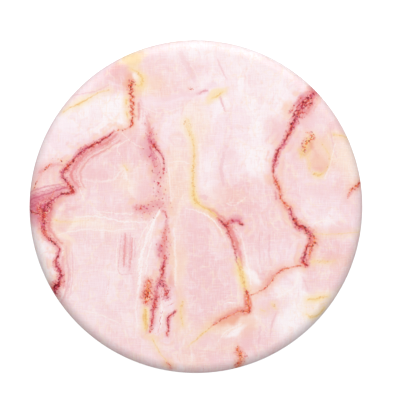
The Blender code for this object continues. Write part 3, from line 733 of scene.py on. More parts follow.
GOLD_LINES = [
    [(1.9, 12.9, 0.08, 0.4), (2.6, 13.2, 0.12, 0.8), (3.2, 13.7, 0.08, 0.5)],
    [(-1.05, 10.1, 0.34, 0.35), (-0.75, 9.0, 0.24, 0.5), (-0.3, 7.7, 0.16, 0.6), (-0.2, 5.8, 0.14, 0.7),
     (-0.35, 4.0, 0.18, 0.75), (-0.3, 2.4, 0.18, 0.75), (-0.1, 0.9, 0.24, 0.9), (0.6, 0.1, 0.14, 0.9),
     (1.5, -0.4, 0.12, 0.9), (2.4, -1.1, 0.1, 0.8)],
    [(5.1, -6.3, 0.16, 0.5), (5.3, -7.6, 0.3, 0.8), (5.6, -8.8, 0.26, 0.9), (6.0, -10.0, 0.16, 0.7)],
    [(-6.0, -12.3, 0.12, 0.9), (-6.0, -13.4, 0.18, 1.0), (-6.1, -14.6, 0.12, 0.8)],
    [(-15.9, 11.4, 0.1, 0.5), (-14.8, 11.9, 0.08, 0.6), (-13.8, 12.4, 0.1, 0.9), (-12.4, 13.2, 0.06, 0.6),
     (-11.4, 13.7, 0.05, 0.5), (-10.4, 13.9, 0.04, 0.6)],
    [(-8.3, 12.7, 0.14, 0.8), (-8.3, 12.3, 0.12, 0.6)],
    [(-8.3, 11.3, 0.1, 0.6), (-8.2, 10.8, 0.1, 0.5)],
    [(14.1, 8.6, 0.1, 0.7), (13.4, 7.9, 0.18, 0.8), (13.0, 7.0, 0.16, 0.8), (12.5, 6.0, 0.1, 0.6)],
    [(14.1, 3.9, 0.14, 0.6), (14.8, 3.8, 0.2, 0.8), (15.3, 4.2, 0.08, 0.4)],
    [(12.2, 6.8, 0.12, 0.4), (13.4, 5.6, 0.12, 0.3), (13.6, 4.4, 0.14, 0.4)],
    [(16.4, 8.6, 0.1, 0.5), (17.9, 8.4, 0.08, 0.6), (19.6, 8.3, 0.06, 0.4)],
    [(13.4, -11.1, 0.12, 0.7), (14.4, -11.0, 0.18, 0.8), (15.7, -10.7, 0.1, 0.6)],
    [(13.2, -12.9, 0.08, 0.5), (13.9, -13.2, 0.16, 0.7), (14.8, -12.9, 0.16, 0.8), (15.4, -12.2, 0.16, 0.7)],
    [(1.6, -14.6, 0.08, 0.5), (0.9, -15.1, 0.1, 0.6), (-0.2, -16.1, 0.08, 0.5), (-1.0, -16.7, 0.06, 0.3)],
    [(-5.2, -15.8, 0.07, 0.6), (-4.4, -17.3, 0.06, 0.5), (-3.3, -18.8, 0.07, 0.6)],
    [(9.2, -11.7, 0.2, 0.5), (9.5, -12.2, 0.12, 0.3)],
    [(7.7, -12.3, 0.07, 0.5), (8.3, -12.5, 0.05, 0.6)],
    [(-7.9, 16.4, 0.12, 0.5), (-7.0, 16.1, 0.14, 0.6), (-6.4, 15.3, 0.2, 0.9), (-6.6, 14.5, 0.16, 0.7),
     (-7.5, 14.6, 0.12, 0.5)],
    [(13.4, -3.2, 0.06, 0.5), (15.9, -3.3, 0.04, 0.5), (17.7, -3.2, 0.04, 0.5), (19.8, -3.1, 0.04, 0.4)],
    [(-16.9, -1.5, 0.08, 0.4), (-16.0, -1.8, 0.1, 0.35), (-14.6, -1.8, 0.08, 0.2),
     (-12.0, -1.6, 0.05, 0.12)],
    [(13.9, -6.6, 0.14, 0.4), (15.6, -6.6, 0.16, 0.4), (16.6, -6.4, 0.1, 0.3)],
    [(-1.6, -11.4, 0.12, 0.4), (-1.8, -12.6, 0.14, 0.5), (-1.5, -14.2, 0.12, 0.4)],
    [(-8.5, 4.8, 0.1, 0.5), (-8.2, 4.4, 0.08, 0.4)],
    [(15.0, 7.6, 0.1, 0.25), (15.7, 6.6, 0.14, 0.3), (16.0, 5.4, 0.1, 0.2), (15.4, 4.3, 0.12, 0.4)],
    [(13.7, 6.6, 0.1, 0.3), (13.3, 5.4, 0.1, 0.2), (13.6, 4.2, 0.12, 0.3)],
]
ROSE_LINES = [
    [(-9.6, 8.4, 0.14, 0.6), (-11.3, 7.2, 0.16, 0.8), (-12.9, 6.1, 0.16, 0.8), (-14.1, 5.1, 0.16, 0.9),
     (-14.9, 4.0, 0.16, 0.9), (-14.6, 2.9, 0.14, 0.7), (-13.9, 2.0, 0.12, 0.5)],
    [(-10.2, 7.6, 0.08, 0.5), (-12.1, 6.2, 0.09, 0.6), (-13.4, 5.0, 0.09, 0.6), (-13.9, 3.8, 0.08, 0.5)],
    [(-15.5, -4.8, 0.1, 0.5), (-15.4, -6.4, 0.1, 0.6), (-15.2, -8.4, 0.12, 0.7), (-15.7, -10.6, 0.14, 0.7),
     (-16.6, -12.0, 0.2, 0.5)],
    [(-14.8, -5.4, 0.05, 0.4), (-14.7, -8.2, 0.06, 0.5), (-15.0, -10.4, 0.06, 0.4)],
    [(-8.9, -3.4, 0.05, 0.6), (-9.1, -5.6, 0.05, 0.7), (-9.2, -7.9, 0.05, 0.6), (-7.6, -8.0, 0.05, 0.5)],
    [(-8.4, -3.2, 0.1, 0.6), (-8.6, -5.4, 0.1, 0.8), (-8.6, -7.2, 0.08, 0.6)],
    [(-7.8, -3.2, 0.07, 0.6), (-7.9, -5.4, 0.09, 0.8), (-8.0, -7.6, 0.07, 0.6)],
    [(-7.3, -3.8, 0.05, 0.5), (-7.3, -6.0, 0.06, 0.6)],
    [(0.1, 13.5, 0.12, 0.35), (0.8, 13.7, 0.12, 0.4), (1.4, 13.8, 0.1, 0.4)],
    [(-1.8, 18.2, 0.3, 0.2), (-1.2, 17.0, 0.34, 0.3), (-0.6, 16.0, 0.3, 0.3), (-0.2, 15.0, 0.2, 0.2)],
    [(2.6, 17.6, 0.08, 0.3), (3.1, 16.4, 0.08, 0.45), (3.7, 15.2, 0.06, 0.3)],
    [(2.9, 13.1, 0.1, 0.6), (3.2, 12.2, 0.1, 0.7), (3.5, 11.4, 0.06, 0.5)],
    [(-15.0, 13.3, 0.04, 0.6), (-13.6, 13.5, 0.05, 0.5), (-11.6, 13.9, 0.06, 0.4), (-10.4, 14.6, 0.08, 0.3)],
    [(-6.6, 12.8, 0.12, 0.35), (-6.3, 11.6, 0.14, 0.35), (-6.3, 10.8, 0.08, 0.3)],
    [(-5.7, 11.2, 0.14, 0.5), (-5.6, 10.6, 0.12, 0.5)],
    [(3.4, 6.4, 0.2, 0.3), (3.0, 4.6, 0.2, 0.45), (3.3, 2.6, 0.16, 0.35)],
    [(7.6, -3.2, 0.06, 0.35), (7.5, -5.0, 0.07, 0.4), (7.7, -6.8, 0.06, 0.3)],
    [(8.8, -3.4, 0.08, 0.4), (8.7, -5.4, 0.09, 0.45), (8.9, -7.0, 0.06, 0.3)],
    [(9.6, -12.8, 0.08, 0.35), (9.1, -14.0, 0.12, 0.5), (8.9, -15.6, 0.08, 0.3)],
    [(7.7, -14.4, 0.14, 0.4), (7.5, -16.2, 0.14, 0.45)],
    [(16.0, 9.4, 0.08, 0.4), (16.4, 7.4, 0.09, 0.4), (16.8, 5.8, 0.06, 0.3)],
    [(12.8, -8.4, 0.12, 0.3), (13.4, -10.0, 0.1, 0.3)],
    [(10.0, 0.6, 0.2, 0.5), (9.4, 1.6, 0.16, 0.3), (8.8, 3.2, 0.14, 0.3)],
    [(-18.6, 1.6, 0.2, 0.8), (-17.2, 1.8, 0.16, 0.7), (-15.6, 2.1, 0.1, 0.7)],
    [(0.6, 1.1, 0.3, 0.4), (1.1, 1.1, 0.3, 0.4)],
]
CREAM_LINES = [
    [(-4.3, -0.6, 0.1, 0.8), (-4.9, -1.6, 0.13, 1.0), (-5.6, -2.9, 0.14, 0.9), (-6.1, -4.3, 0.1, 0.7)],
    [(-5.6, -3.6, 0.08, 0.6), (-6.2, -4.9, 0.13, 0.9), (-6.7, -6.4, 0.14, 0.9), (-6.9, -7.6, 0.1, 0.6)],
    [(-6.3, -6.2, 0.08, 0.6), (-6.6, -7.8, 0.16, 0.9), (-6.8, -9.4, 0.14, 0.8), (-6.9, -10.8, 0.1, 0.4)],
    [(-4.7, -1.2, 0.05, 0.8), (-5.2, -2.8, 0.08, 0.8), (-5.5, -4.2, 0.06, 0.5)],
    [(-5.3, -4.4, 0.05, 0.6), (-5.8, -6.2, 0.08, 0.8), (-6.0, -8.2, 0.06, 0.6)],
    [(-5.2, -1.4, 0.05, 0.6), (-6.4, -3.2, 0.06, 0.6), (-7.0, -5.2, 0.05, 0.5)],
    [(-7.0, -10.8, 0.08, 0.4), (-7.2, -12.4, 0.1, 0.5), (-6.9, -14.6, 0.08, 0.4)],
    [(-9.0, 7.6, 0.05, 0.6), (-11.3, 6.7, 0.06, 0.7), (-12.9, 5.6, 0.07, 0.8), (-13.7, 4.4, 0.07, 0.8),
     (-13.9, 2.6, 0.06, 0.7), (-13.4, 0.8, 0.05, 0.5)],
    [(-10.0, 8.2, 0.04, 0.5), (-12.4, 6.8, 0.05, 0.6), (-14.2, 5.4, 0.05, 0.5)],
    [(-8.8, 8.8, 0.05, 0.5), (-7.4, 7.5, 0.05, 0.5), (-6.2, 7.0, 0.05, 0.4)],
    [(-8.2, 8.0, 0.04, 0.5), (-9.4, 7.0, 0.05, 0.5), (-8.9, 5.9, 0.04, 0.4)],
    [(-8.4, 3.4, 0.24, 0.5), (-8.7, 4.6, 0.14, 0.4), (-9.8, 3.3, 0.1, 0.4), (-12.0, 3.0, 0.12, 0.3),
     (-13.6, 3.3, 0.06, 0.3)],
    [(-16.6, -3.4, 0.06, 0.4), (-13.4, -2.7, 0.08, 0.5), (-10.0, -2.9, 0.08, 0.5), (-7.4, -2.6, 0.07, 0.5)],
    [(-14.4, -1.3, 0.07, 0.5), (-11.8, -1.2, 0.1, 0.7), (-9.0, -1.7, 0.1, 0.7), (-6.2, -1.9, 0.07, 0.6)],
    [(-12.6, -0.4, 0.04, 0.4), (-9.8, -0.8, 0.06, 0.6), (-7.4, -0.9, 0.05, 0.6)],
    [(-15.9, -4.9, 0.08, 0.5), (-15.8, -7.0, 0.08, 0.5), (-15.6, -9.0, 0.08, 0.5),
     (-16.0, -11.0, 0.08, 0.4)],
    [(-9.3, -3.8, 0.04, 0.5), (-9.5, -6.0, 0.05, 0.6), (-9.4, -8.0, 0.04, 0.5)],
    [(-13.8, -7.8, 0.05, 0.3), (-11.0, -7.6, 0.05, 0.35), (-9.2, -8.1, 0.06, 0.4)],
    [(-13.8, -12.3, 0.05, 0.4), (-11.5, -12.9, 0.06, 0.5), (-9.0, -14.0, 0.05, 0.4)],
    [(-1.2, -0.2, 0.06, 0.4), (0.3, -0.6, 0.08, 0.6), (1.6, -1.3, 0.08, 0.7), (2.7, -2.4, 0.07, 0.6),
     (3.6, -4.2, 0.06, 0.4)],
    [(0.4, 7.4, 0.14, 0.4), (0.6, 5.6, 0.14, 0.4), (0.5, 3.8, 0.12, 0.4)],
    [(-3.2, 4.6, 0.07, 0.5), (-3.1, 2.6, 0.08, 0.5), (-2.9, 0.6, 0.07, 0.4)],
    [(-3.1, 5.3, 0.06, 0.5), (-1.9, 5.4, 0.06, 0.5), (-0.8, 5.2, 0.06, 0.4)],
    [(-2.6, -2.6, 0.1, 0.5), (-2.5, -5.0, 0.12, 0.5), (-2.4, -7.4, 0.12, 0.5), (-2.5, -9.4, 0.1, 0.5)],
    [(-4.2, -11.4, 0.12, 0.6), (-4.0, -12.8, 0.14, 0.6), (-4.2, -14.4, 0.1, 0.5)],
    [(5.4, -3.2, 0.06, 0.4), (5.8, -5.2, 0.08, 0.5), (6.3, -7.4, 0.12, 0.6), (6.6, -9.2, 0.1, 0.6)],
    [(3.6, 0.4, 0.06, 0.5), (4.6, 0.2, 0.06, 0.5), (6.0, 1.2, 0.05, 0.4)],
    [(10.0, -1.0, 0.05, 0.3), (11.6, -2.4, 0.05, 0.3)],
    [(13.9, -2.2, 0.06, 0.5), (15.4, -1.6, 0.08, 0.6), (17.2, -2.4, 0.05, 0.4)],
    [(12.2, -8.0, 0.14, 0.5), (11.8, -9.6, 0.14, 0.5), (9.8, -10.8, 0.14, 0.5)],
    [(5.4, -14.0, 0.1, 0.5), (3.6, -14.9, 0.08, 0.5), (2.6, -16.2, 0.08, 0.4)],
    [(-6.4, 11.9, 0.05, 0.4), (-4.2, 11.2, 0.05, 0.4), (-1.6, 11.9, 0.05, 0.4)],
    [(-0.6, 17.0, 0.05, 0.3), (0.6, 14.6, 0.06, 0.4), (1.0, 12.6, 0.05, 0.3)],
    [(3.0, 11.4, 0.05, 0.5), (6.0, 11.0, 0.05, 0.4), (8.4, 11.2, 0.05, 0.3)],
    [(16.6, 7.4, 0.07, 0.5), (16.2, 5.6, 0.07, 0.5), (15.4, 3.4, 0.06, 0.5), (15.9, 4.6, 0.08, 0.5)],
    [(3.4, -10.9, 0.05, 0.3), (4.4, -10.4, 0.06, 0.4)],
    [(3.4, -11.6, 0.05, 0.5), (4.1, -11.4, 0.08, 0.9), (4.7, -11.5, 0.05, 0.6)],
]
SALMON_LINES = [
    [(-9.4, 8.7, 0.1, 0.6), (-10.8, 7.6, 0.16, 0.9), (-12.3, 6.9, 0.16, 0.8), (-13.7, 5.8, 0.18, 1.0),
     (-14.4, 4.9, 0.18, 1.0), (-14.9, 4.0, 0.16, 1.0), (-14.6, 3.1, 0.14, 0.9), (-14.0, 2.4, 0.12, 0.7)],
    [(-9.0, 7.9, 0.08, 0.5), (-10.6, 6.9, 0.1, 0.5), (-12.4, 5.9, 0.1, 0.6), (-13.5, 4.8, 0.1, 0.6),
     (-13.8, 3.6, 0.1, 0.5), (-13.3, 2.2, 0.08, 0.4)],
    [(-17.4, -1.0, 0.16, 0.7), (-17.6, -2.2, 0.16, 0.7), (-17.0, -3.4, 0.12, 0.6), (-16.0, -4.4, 0.1, 0.6)],
    [(-15.9, -6.0, 0.12, 0.5), (-15.8, -7.6, 0.12, 0.5), (-15.7, -9.4, 0.14, 0.5)],
    [(-8.4, -3.4, 0.08, 0.5), (-8.5, -5.4, 0.1, 0.6), (-8.6, -7.0, 0.07, 0.5)],
    [(-7.6, -3.8, 0.05, 0.5), (-7.7, -5.6, 0.07, 0.6), (-7.9, -7.4, 0.05, 0.5)],
    [(-6.9, 12.4, 0.08, 0.5), (-6.8, 11.4, 0.1, 0.5), (-6.9, 10.4, 0.08, 0.5)],
    [(-5.9, 10.8, 0.1, 0.3), (-5.5, 9.4, 0.16, 0.45), (-5.4, 8.2, 0.14, 0.4)],
    [(0.6, 0.2, 0.05, 0.3), (2.3, -0.7, 0.1, 0.6), (3.6, -1.7, 0.16, 0.8), (4.4, -3.2, 0.22, 0.9),
     (4.9, -4.6, 0.2, 0.9), (5.3, -6.2, 0.16, 0.8), (5.5, -7.4, 0.1, 0.4)],
    [(5.8, -9.6, 0.08, 0.4), (6.1, -10.6, 0.16, 0.5), (6.1, -11.4, 0.3, 0.25), (5.9, -12.2, 0.3, 0.3),
     (5.0, -12.5, 0.24, 0.6), (3.6, -13.1, 0.16, 0.4), (2.2, -13.9, 0.1, 0.3)],
    [(-3.6, -2.6, 0.14, 0.4), (-3.8, -4.2, 0.24, 0.5), (-3.9, -5.8, 0.24, 0.45), (-3.9, -7.6, 0.14, 0.5),
     (-3.9, -9.4, 0.16, 0.6)],
    [(-5.7, -9.0, 0.24, 0.6), (-5.8, -10.4, 0.3, 0.8), (-5.9, -11.4, 0.2, 0.6)],
    [(13.9, 13.6, 0.3, 0.7), (13.7, 12.2, 0.24, 0.6), (13.2, 11.0, 0.14, 0.5)],
    [(13.8, -3.3, 0.24, 0.7), (13.9, -4.4, 0.24, 0.8), (13.5, -5.6, 0.18, 0.7), (13.3, -6.6, 0.16, 0.6)],
    [(9.5, 3.6, 0.12, 0.6), (9.9, 2.2, 0.16, 0.7), (10.3, 0.8, 0.14, 0.7), (11.0, -0.4, 0.14, 0.6)],
    [(10.4, -7.3, 0.1, 0.4), (9.2, -8.4, 0.14, 0.6), (8.4, -9.4, 0.1, 0.4)],
    [(13.4, 7.9, 0.2, 0.4), (14.0, 6.9, 0.2, 0.2), (14.5, 6.0, 0.2, 0.1)],
    [(19.9, 2.8, 0.14, 0.7), (18.7, 2.0, 0.14, 0.7), (18.2, 1.2, 0.08, 0.5)],
    [(5.2, -17.0, 0.14, 0.6), (5.3, -18.2, 0.2, 0.8), (5.1, -19.4, 0.14, 0.6)],
    [(-3.4, -18.6, 0.14, 0.5), (-3.0, -19.4, 0.14, 0.6)],
    [(-3.0, -13.0, 0.1, 0.5), (-3.3, -14.2, 0.1, 0.6), (-3.4, -15.4, 0.1, 0.5)],
    [(-18.6, 4.2, 0.16, 0.5), (-17.2, 4.9, 0.14, 0.5), (-16.0, 5.0, 0.1, 0.4)],
]
PLUM_LINES = [
    [(-20.4, 0.5, 0.16, 0.8), (-18.8, 1.2, 0.12, 0.7), (-17.2, 1.7, 0.1, 0.8), (-15.6, 2.3, 0.1, 0.9),
     (-14.9, 2.2, 0.1, 0.9)],
    [(-20.4, 1.6, 0.1, 0.5), (-18.6, 2.2, 0.1, 0.5), (-16.8, 2.6, 0.08, 0.5), (-15.4, 2.8, 0.06, 0.4)],
    [(-20.4, -0.2, 0.2, 0.8), (-19.2, 0.2, 0.14, 0.7), (-18.2, 0.9, 0.1, 0.5)],
    [(13.9, 13.0, 0.1, 0.5), (12.9, 12.6, 0.24, 0.9), (12.1, 11.6, 0.16, 0.7), (11.7, 10.6, 0.08, 0.4)],
    [(-5.9, 8.6, 0.1, 0.4), (-5.4, 7.4, 0.2, 0.8), (-5.2, 6.2, 0.2, 0.5), (-5.0, 5.0, 0.14, 0.3)],
    [(-4.7, -10.2, 0.16, 0.6), (-4.9, -11.4, 0.2, 1.0), (-5.1, -12.6, 0.16, 0.9), (-5.3, -14.2, 0.12, 0.6)],
    [(-4.2, -4.6, 0.16, 0.6), (-4.4, -5.8, 0.14, 0.5)],
    [(4.2, -1.6, 0.14, 0.7), (5.0, -1.7, 0.14, 0.8), (5.6, -2.0, 0.08, 0.4)],
    [(9.6, 0.9, 0.12, 0.5), (9.5, 1.9, 0.1, 0.3)],
    [(0.4, 13.4, 0.08, 0.2), (0.9, 13.75, 0.12, 0.4), (1.4, 13.9, 0.08, 0.3)],
    [(-3.6, -10.0, 0.14, 0.5), (-3.8, -10.9, 0.14, 0.4)],
]
# Each paint's lines, and how far noise bends them
PAINTS = {
    "rose": (ROSE_LINES, 0.12),
    "plum": (PLUM_LINES, 0.16),
    "salmon": (SALMON_LINES, 0.2),
    "cream": (CREAM_LINES, 0.18),
    "gold": (GOLD_LINES, 0.14),
    "ember": (EMBER_LINES, 0.16),
    "crimson": (CRIMSON_LINES, 0.24),
}
# How torn into grains each paint's lines are
LINE_TEARS = {
    "rose": 0.8,
    "cream": 1.2,
    "gold": 1.0,
    "ember": 0.9,
    "crimson": 0.9,
    "salmon": 0.9,
    "plum": 0.7,
}
ROUTE_STEP = 0.1  # between the points of a line after it is smoothed
ROUTE_WOBBLE_SCALE = 1.8
GRAINS_PER_MM = 6.4
BAND_RADIANS_PER_MM = 7.5


def line_routes(paint, lines):
    """A helper object that holds one paint's routes as strings of edges."""
    places, edges, widths, loads = [], [], [], []
    for line in lines:
        edges += [(len(places) + i, len(places) + i + 1) for i in range(len(line) - 1)]
        places += [(x, y, 0.0) for x, y, _, _ in line]
        widths += [width for _, _, width, _ in line]
        loads += [load for _, _, _, load in line]
    mesh = bpy.data.meshes.new(paint + "_routes")
    mesh.from_pydata(places, edges, [])
    mesh.attributes.new("half_width", "FLOAT", "POINT").data.foreach_set("value", widths)
    mesh.attributes.new("load", "FLOAT", "POINT").data.foreach_set("value", loads)
    obj = bpy.data.objects.new(mesh.name, mesh)
    bpy.context.scene.collection.objects.link(obj)
    return obj


def print_tree():
    """Stores, for each paint, the way from each point of the print to the nearest line of that paint."""
    sockets = [("Geometry", "INPUT", "NodeSocketGeometry", None)]
    for paint in PAINTS:
        sockets.append((paint + " routes", "INPUT", "NodeSocketObject", None))
        sockets.append((paint + " wobble", "INPUT", "NodeSocketFloat", 0.1))
    sockets.append(("Finish", "INPUT", "NodeSocketMaterial", None))
    sockets.append(("Geometry", "OUTPUT", "NodeSocketGeometry", None))
    tree, given, made = new_group("print_fields", "GeometryNodeTree", sockets)
    position = add(tree, "GeometryNodeInputPosition").outputs[0]
    print_place = add(
        tree,
        "GeometryNodeInputNamedAttribute",
        {"Name": "print_place"},
        data_type="FLOAT_VECTOR",
    ).outputs["Attribute"]
    half_width = add(tree, "GeometryNodeInputNamedAttribute", {"Name": "half_width"}, data_type="FLOAT")
    load = add(tree, "GeometryNodeInputNamedAttribute", {"Name": "load"}, data_type="FLOAT")
    geometry = given["Geometry"]
    for paint in PAINTS:
        routes = add(tree, "GeometryNodeObjectInfo", {"Object": given[paint + " routes"]})
        curve = add(tree, "GeometryNodeMeshToCurve", {"Mesh": routes.outputs["Geometry"]})
        bent = add(
            tree,
            "GeometryNodeCurveSplineType",
            {"Curve": curve.outputs[0]},
            spline_type="CATMULL_ROM",
        )
        even = add(
            tree,
            "GeometryNodeResampleCurve",
            {"Curve": bent.outputs[0], "Length": ROUTE_STEP},
            mode="LENGTH",
        )
        wander = shift(tree, position, ROUTE_WOBBLE_SCALE, given[paint + " wobble"], detail=3.0)
        flat = vector_calc(tree, "MULTIPLY", wander, (1.0, 1.0, 0.0))
        ragged = add(tree, "GeometryNodeSetPosition", {"Geometry": even.outputs[0], "Offset": flat})
        wire = add(tree, "GeometryNodeCurveToMesh", {"Curve": ragged.outputs[0]}).outputs[0]
        near = add(tree, "GeometryNodeProximity", {0: wire}, target_element="EDGES")
        plug(tree, near.inputs["Sample Position"], print_place)
        gap = vector_calc(tree, "SUBTRACT", near.outputs["Position"], print_place)
        nearest = add(tree, "GeometryNodeSampleNearest", {"Geometry": wire, "Sample Position": print_place})
        width = add(
            tree,
            "GeometryNodeSampleIndex",
            {"Geometry": wire, "Value": half_width.outputs["Attribute"], "Index": nearest.outputs[0]},
            data_type="FLOAT",
        ).outputs[0]
        weight = add(
            tree,
            "GeometryNodeSampleIndex",
            {"Geometry": wire, "Value": load.outputs["Attribute"], "Index": nearest.outputs[0]},
            data_type="FLOAT",
        ).outputs[0]
        parts = add(tree, "ShaderNodeSeparateXYZ", {"Vector": gap}).outputs
        gap_and_width = add(tree, "ShaderNodeCombineXYZ", {"X": parts["X"], "Y": parts["Y"], "Z": width})
        geometry = add(
            tree,
            "GeometryNodeStoreNamedAttribute",
            {"Geometry": geometry, "Name": paint + "_gap", "Value": gap_and_width.outputs[0]},
            data_type="FLOAT_VECTOR",
            domain="POINT",
        ).outputs[0]
        geometry = add(
            tree,
            "GeometryNodeStoreNamedAttribute",
            {"Geometry": geometry, "Name": paint + "_load", "Value": weight},
            data_type="FLOAT",
            domain="POINT",
        ).outputs[0]
    real = add(tree, "GeometryNodeRealizeInstances", {"Geometry": geometry})
    painted = add(
        tree,
        "GeometryNodeSetMaterial",
        {"Geometry": real.outputs[0], "Material": given["Finish"]},
    )
    tree.links.new(painted.outputs[0], made["Geometry"])
    return tree


# ---------------------------------------------------------------- shader groups


def field_group():
    """An oval field of the print, and the thin line round its edge."""
    tree, given, made = new_group(
        "print_field",
        "ShaderNodeTree",
        [
            ("Place", "INPUT", "NodeSocketVector", None),
            ("Centre", "INPUT", "NodeSocketVector", None),
            ("Half size", "INPUT", "NodeSocketVector", None),
            ("Turn", "INPUT", "NodeSocketFloat", 0.0),
            ("Softness", "INPUT", "NodeSocketFloat", 0.5),
            ("Mask", "OUTPUT", "NodeSocketFloat", None),
            ("Edge", "OUTPUT", "NodeSocketFloat", None),
        ],
    )
    away = vector_calc(tree, "SUBTRACT", given["Place"], given["Centre"])
    turned_back = add(
        tree,
        "ShaderNodeVectorRotate",
        {"Vector": away, "Angle": calc(tree, "MULTIPLY", given["Turn"], -1.0)},
        rotation_type="Z_AXIS",
    ).outputs[0]
    scaled = vector_calc(tree, "DIVIDE", turned_back, given["Half size"])
    distance = vector_calc(tree, "LENGTH", scaled)
    outer = calc(tree, "ADD", 1.0, given["Softness"])
    inner = calc(tree, "SUBTRACT", 1.0, given["Softness"])
    plug(tree, made["Mask"], remap(tree, distance, outer, inner))
    from_edge = calc(tree, "ABSOLUTE", calc(tree, "SUBTRACT", distance, 1.0))
    plug(tree, made["Edge"], remap(tree, from_edge, 0.07, 0.0))
    return tree


def line_group():
    """A painted line at a point: its grainy core, the loose fringe beside it, and the stain round it."""
    tree, given, made = new_group(
        "print_line",
        "ShaderNodeTree",
        [
            ("Gap and width", "INPUT", "NodeSocketVector", None),
            ("Load", "INPUT", "NodeSocketFloat", 1.0),
            ("Ragged", "INPUT", "NodeSocketVector", None),
            ("Grains", "INPUT", "NodeSocketFloat", 0.5),
            ("Tear", "INPUT", "NodeSocketFloat", 0.6),
            ("Chance", "INPUT", "NodeSocketFloat", 0.5),
            ("Core", "OUTPUT", "NodeSocketFloat", None),
            ("Grainy", "OUTPUT", "NodeSocketFloat", None),
            ("Glow", "OUTPUT", "NodeSocketFloat", None),
            ("Fringe", "OUTPUT", "NodeSocketFloat", None),
            ("Loose", "OUTPUT", "NodeSocketFloat", None),
            ("Thread", "OUTPUT", "NodeSocketFloat", None),
            ("Distance", "OUTPUT", "NodeSocketFloat", None),
        ],
    )
    torn = vector_calc(tree, "ADD", given["Gap and width"], given["Ragged"])
    flat = vector_calc(tree, "MULTIPLY", torn, (1.0, 1.0, 0.0))
    distance = vector_calc(tree, "LENGTH", flat)
    width = add(tree, "ShaderNodeSeparateXYZ", {"Vector": given["Gap and width"]}).outputs["Z"]
    widths_away = calc(tree, "DIVIDE", distance, width)
    grain = calc(tree, "MULTIPLY", calc(tree, "SUBTRACT", 0.5, given["Grains"]), given["Tear"])
    torn_away = calc(tree, "ADD", widths_away, grain)
    fringe_away = calc(tree, "ADD", widths_away, calc(tree, "MULTIPLY", grain, 3.0))
    results = {
        "Core": remap(tree, torn_away, 1.1, 0.85),
        "Glow": remap(tree, widths_away, 3.6, 0.4),
        "Fringe": remap(tree, fringe_away, 2.6, 1.9),
        "Thread": remap(tree, distance, 0.1, 0.03),
    }
    for name, value in results.items():
        plug(tree, made[name], calc(tree, "MULTIPLY", value, given["Load"]))
    present = remap(tree, calc(tree, "SUBTRACT", given["Load"], given["Chance"]), -0.03, 0.03)
    plug(tree, made["Grainy"], calc(tree, "MULTIPLY", results["Core"], present))
    plug(tree, made["Loose"], calc(tree, "MULTIPLY", results["Fringe"], present))
    plug(tree, made["Distance"], distance)
    return tree


def grain_group():
    """The fine eroded texture of a mould and the smudges of handling, as heights and masks."""
    tree, given, made = new_group(
        "moulded_grain",
        "ShaderNodeTree",
        [
            ("Place", "INPUT", "NodeSocketVector", None),
            ("Grain per metre", "INPUT", "NodeSocketFloat", GRAIN_PER_METRE),
            ("Height", "OUTPUT", "NodeSocketFloat", None),
            ("Smudge", "OUTPUT", "NodeSocketFloat", None),
            ("Tone", "OUTPUT", "NodeSocketFloat", None),
        ],
    )
    grain = noise(tree, given["Place"], given["Grain per metre"], detail=3.0, roughness=0.6)
    pits = add(
        tree,
        "ShaderNodeTexVoronoi",
        {"Vector": given["Place"], "Scale": calc(tree, "MULTIPLY", given["Grain per metre"], 0.6)},
    ).outputs["Distance"]
    height = calc(tree, "ADD", grain, calc(tree, "MULTIPLY", pits, 0.5))
    smudge = noise(tree, given["Place"], 260.0, detail=4.0, roughness=0.6)
    tone = noise(tree, given["Place"], 90.0, detail=2.0)
    plug(tree, made["Height"], height)
    plug(tree, made["Smudge"], remap(tree, smudge, 0.35, 0.7))
    plug(tree, made["Tone"], remap(tree, tone, 0.3, 0.7))
    return tree


# ---------------------------------------------------------------- materials


def new_material(name):
    material = bpy.data.materials.new(name)
    material.use_nodes = True
    tree = material.node_tree
    shader = tree.nodes["Principled BSDF"]
    return material, tree, shader


def object_place(tree):
    return add(tree, "ShaderNodeTexCoord").outputs["Object"]


def bump(tree, shader, height, depth):
    """Fine relief, as deep as depth where height goes from 0 to 1."""
    node = add(tree, "ShaderNodeBump", {"Height": height, "Distance": depth})
    plug(tree, shader.inputs["Normal"], node.outputs[0])


def moulded_plastic(name, light, shade, roughness, grain_depth, grain_scale=GRAIN_PER_METRE):
    """A moulded plastic or elastomer: fine grain, smudged gloss and a little change of tone."""
    material, tree, shader = new_material(name)
    grain = use_group(
        tree, GRAIN, "ShaderNodeGroup", Place=object_place(tree), Grain_per_metre=grain_scale
    )
    plug(tree, shader.inputs["Base Color"], mix(tree, grain["Tone"], shade, light))
    plug(
        tree,
        shader.inputs["Roughness"],
        remap(tree, grain["Smudge"], 0.0, 1.0, roughness, roughness + 0.12),
    )
    bump(tree, shader, grain["Height"], grain_depth)
    return material


def gel_material():
    material, tree, shader = new_material("tacky_gel")
    place = object_place(tree)
    grain = use_group(tree, GRAIN, "ShaderNodeGroup", Place=place, Grain_per_metre=GEL_GRAIN_PER_METRE)
    dust = add(tree, "ShaderNodeTexVoronoi", {"Vector": place, "Scale": 1500.0}).outputs["Distance"]
    speck = remap(tree, dust, 0.11, 0.06)
    sparse = remap(tree, noise(tree, place, 420.0), 0.56, 0.62)
    dusty = calc(tree, "MULTIPLY", speck, sparse)
    dark = mix(tree, grain["Tone"], srgb(30, 30, 33), srgb(44, 44, 48))
    plug(tree, shader.inputs["Base Color"], mix(tree, dusty, dark, srgb(120, 118, 116)))
    plug(tree, shader.inputs["Roughness"], remap(tree, grain["Smudge"], 0.0, 1.0, 0.16, 0.34))
    bump(tree, shader, grain["Height"], GEL_GRAIN_DEPTH)
    return material


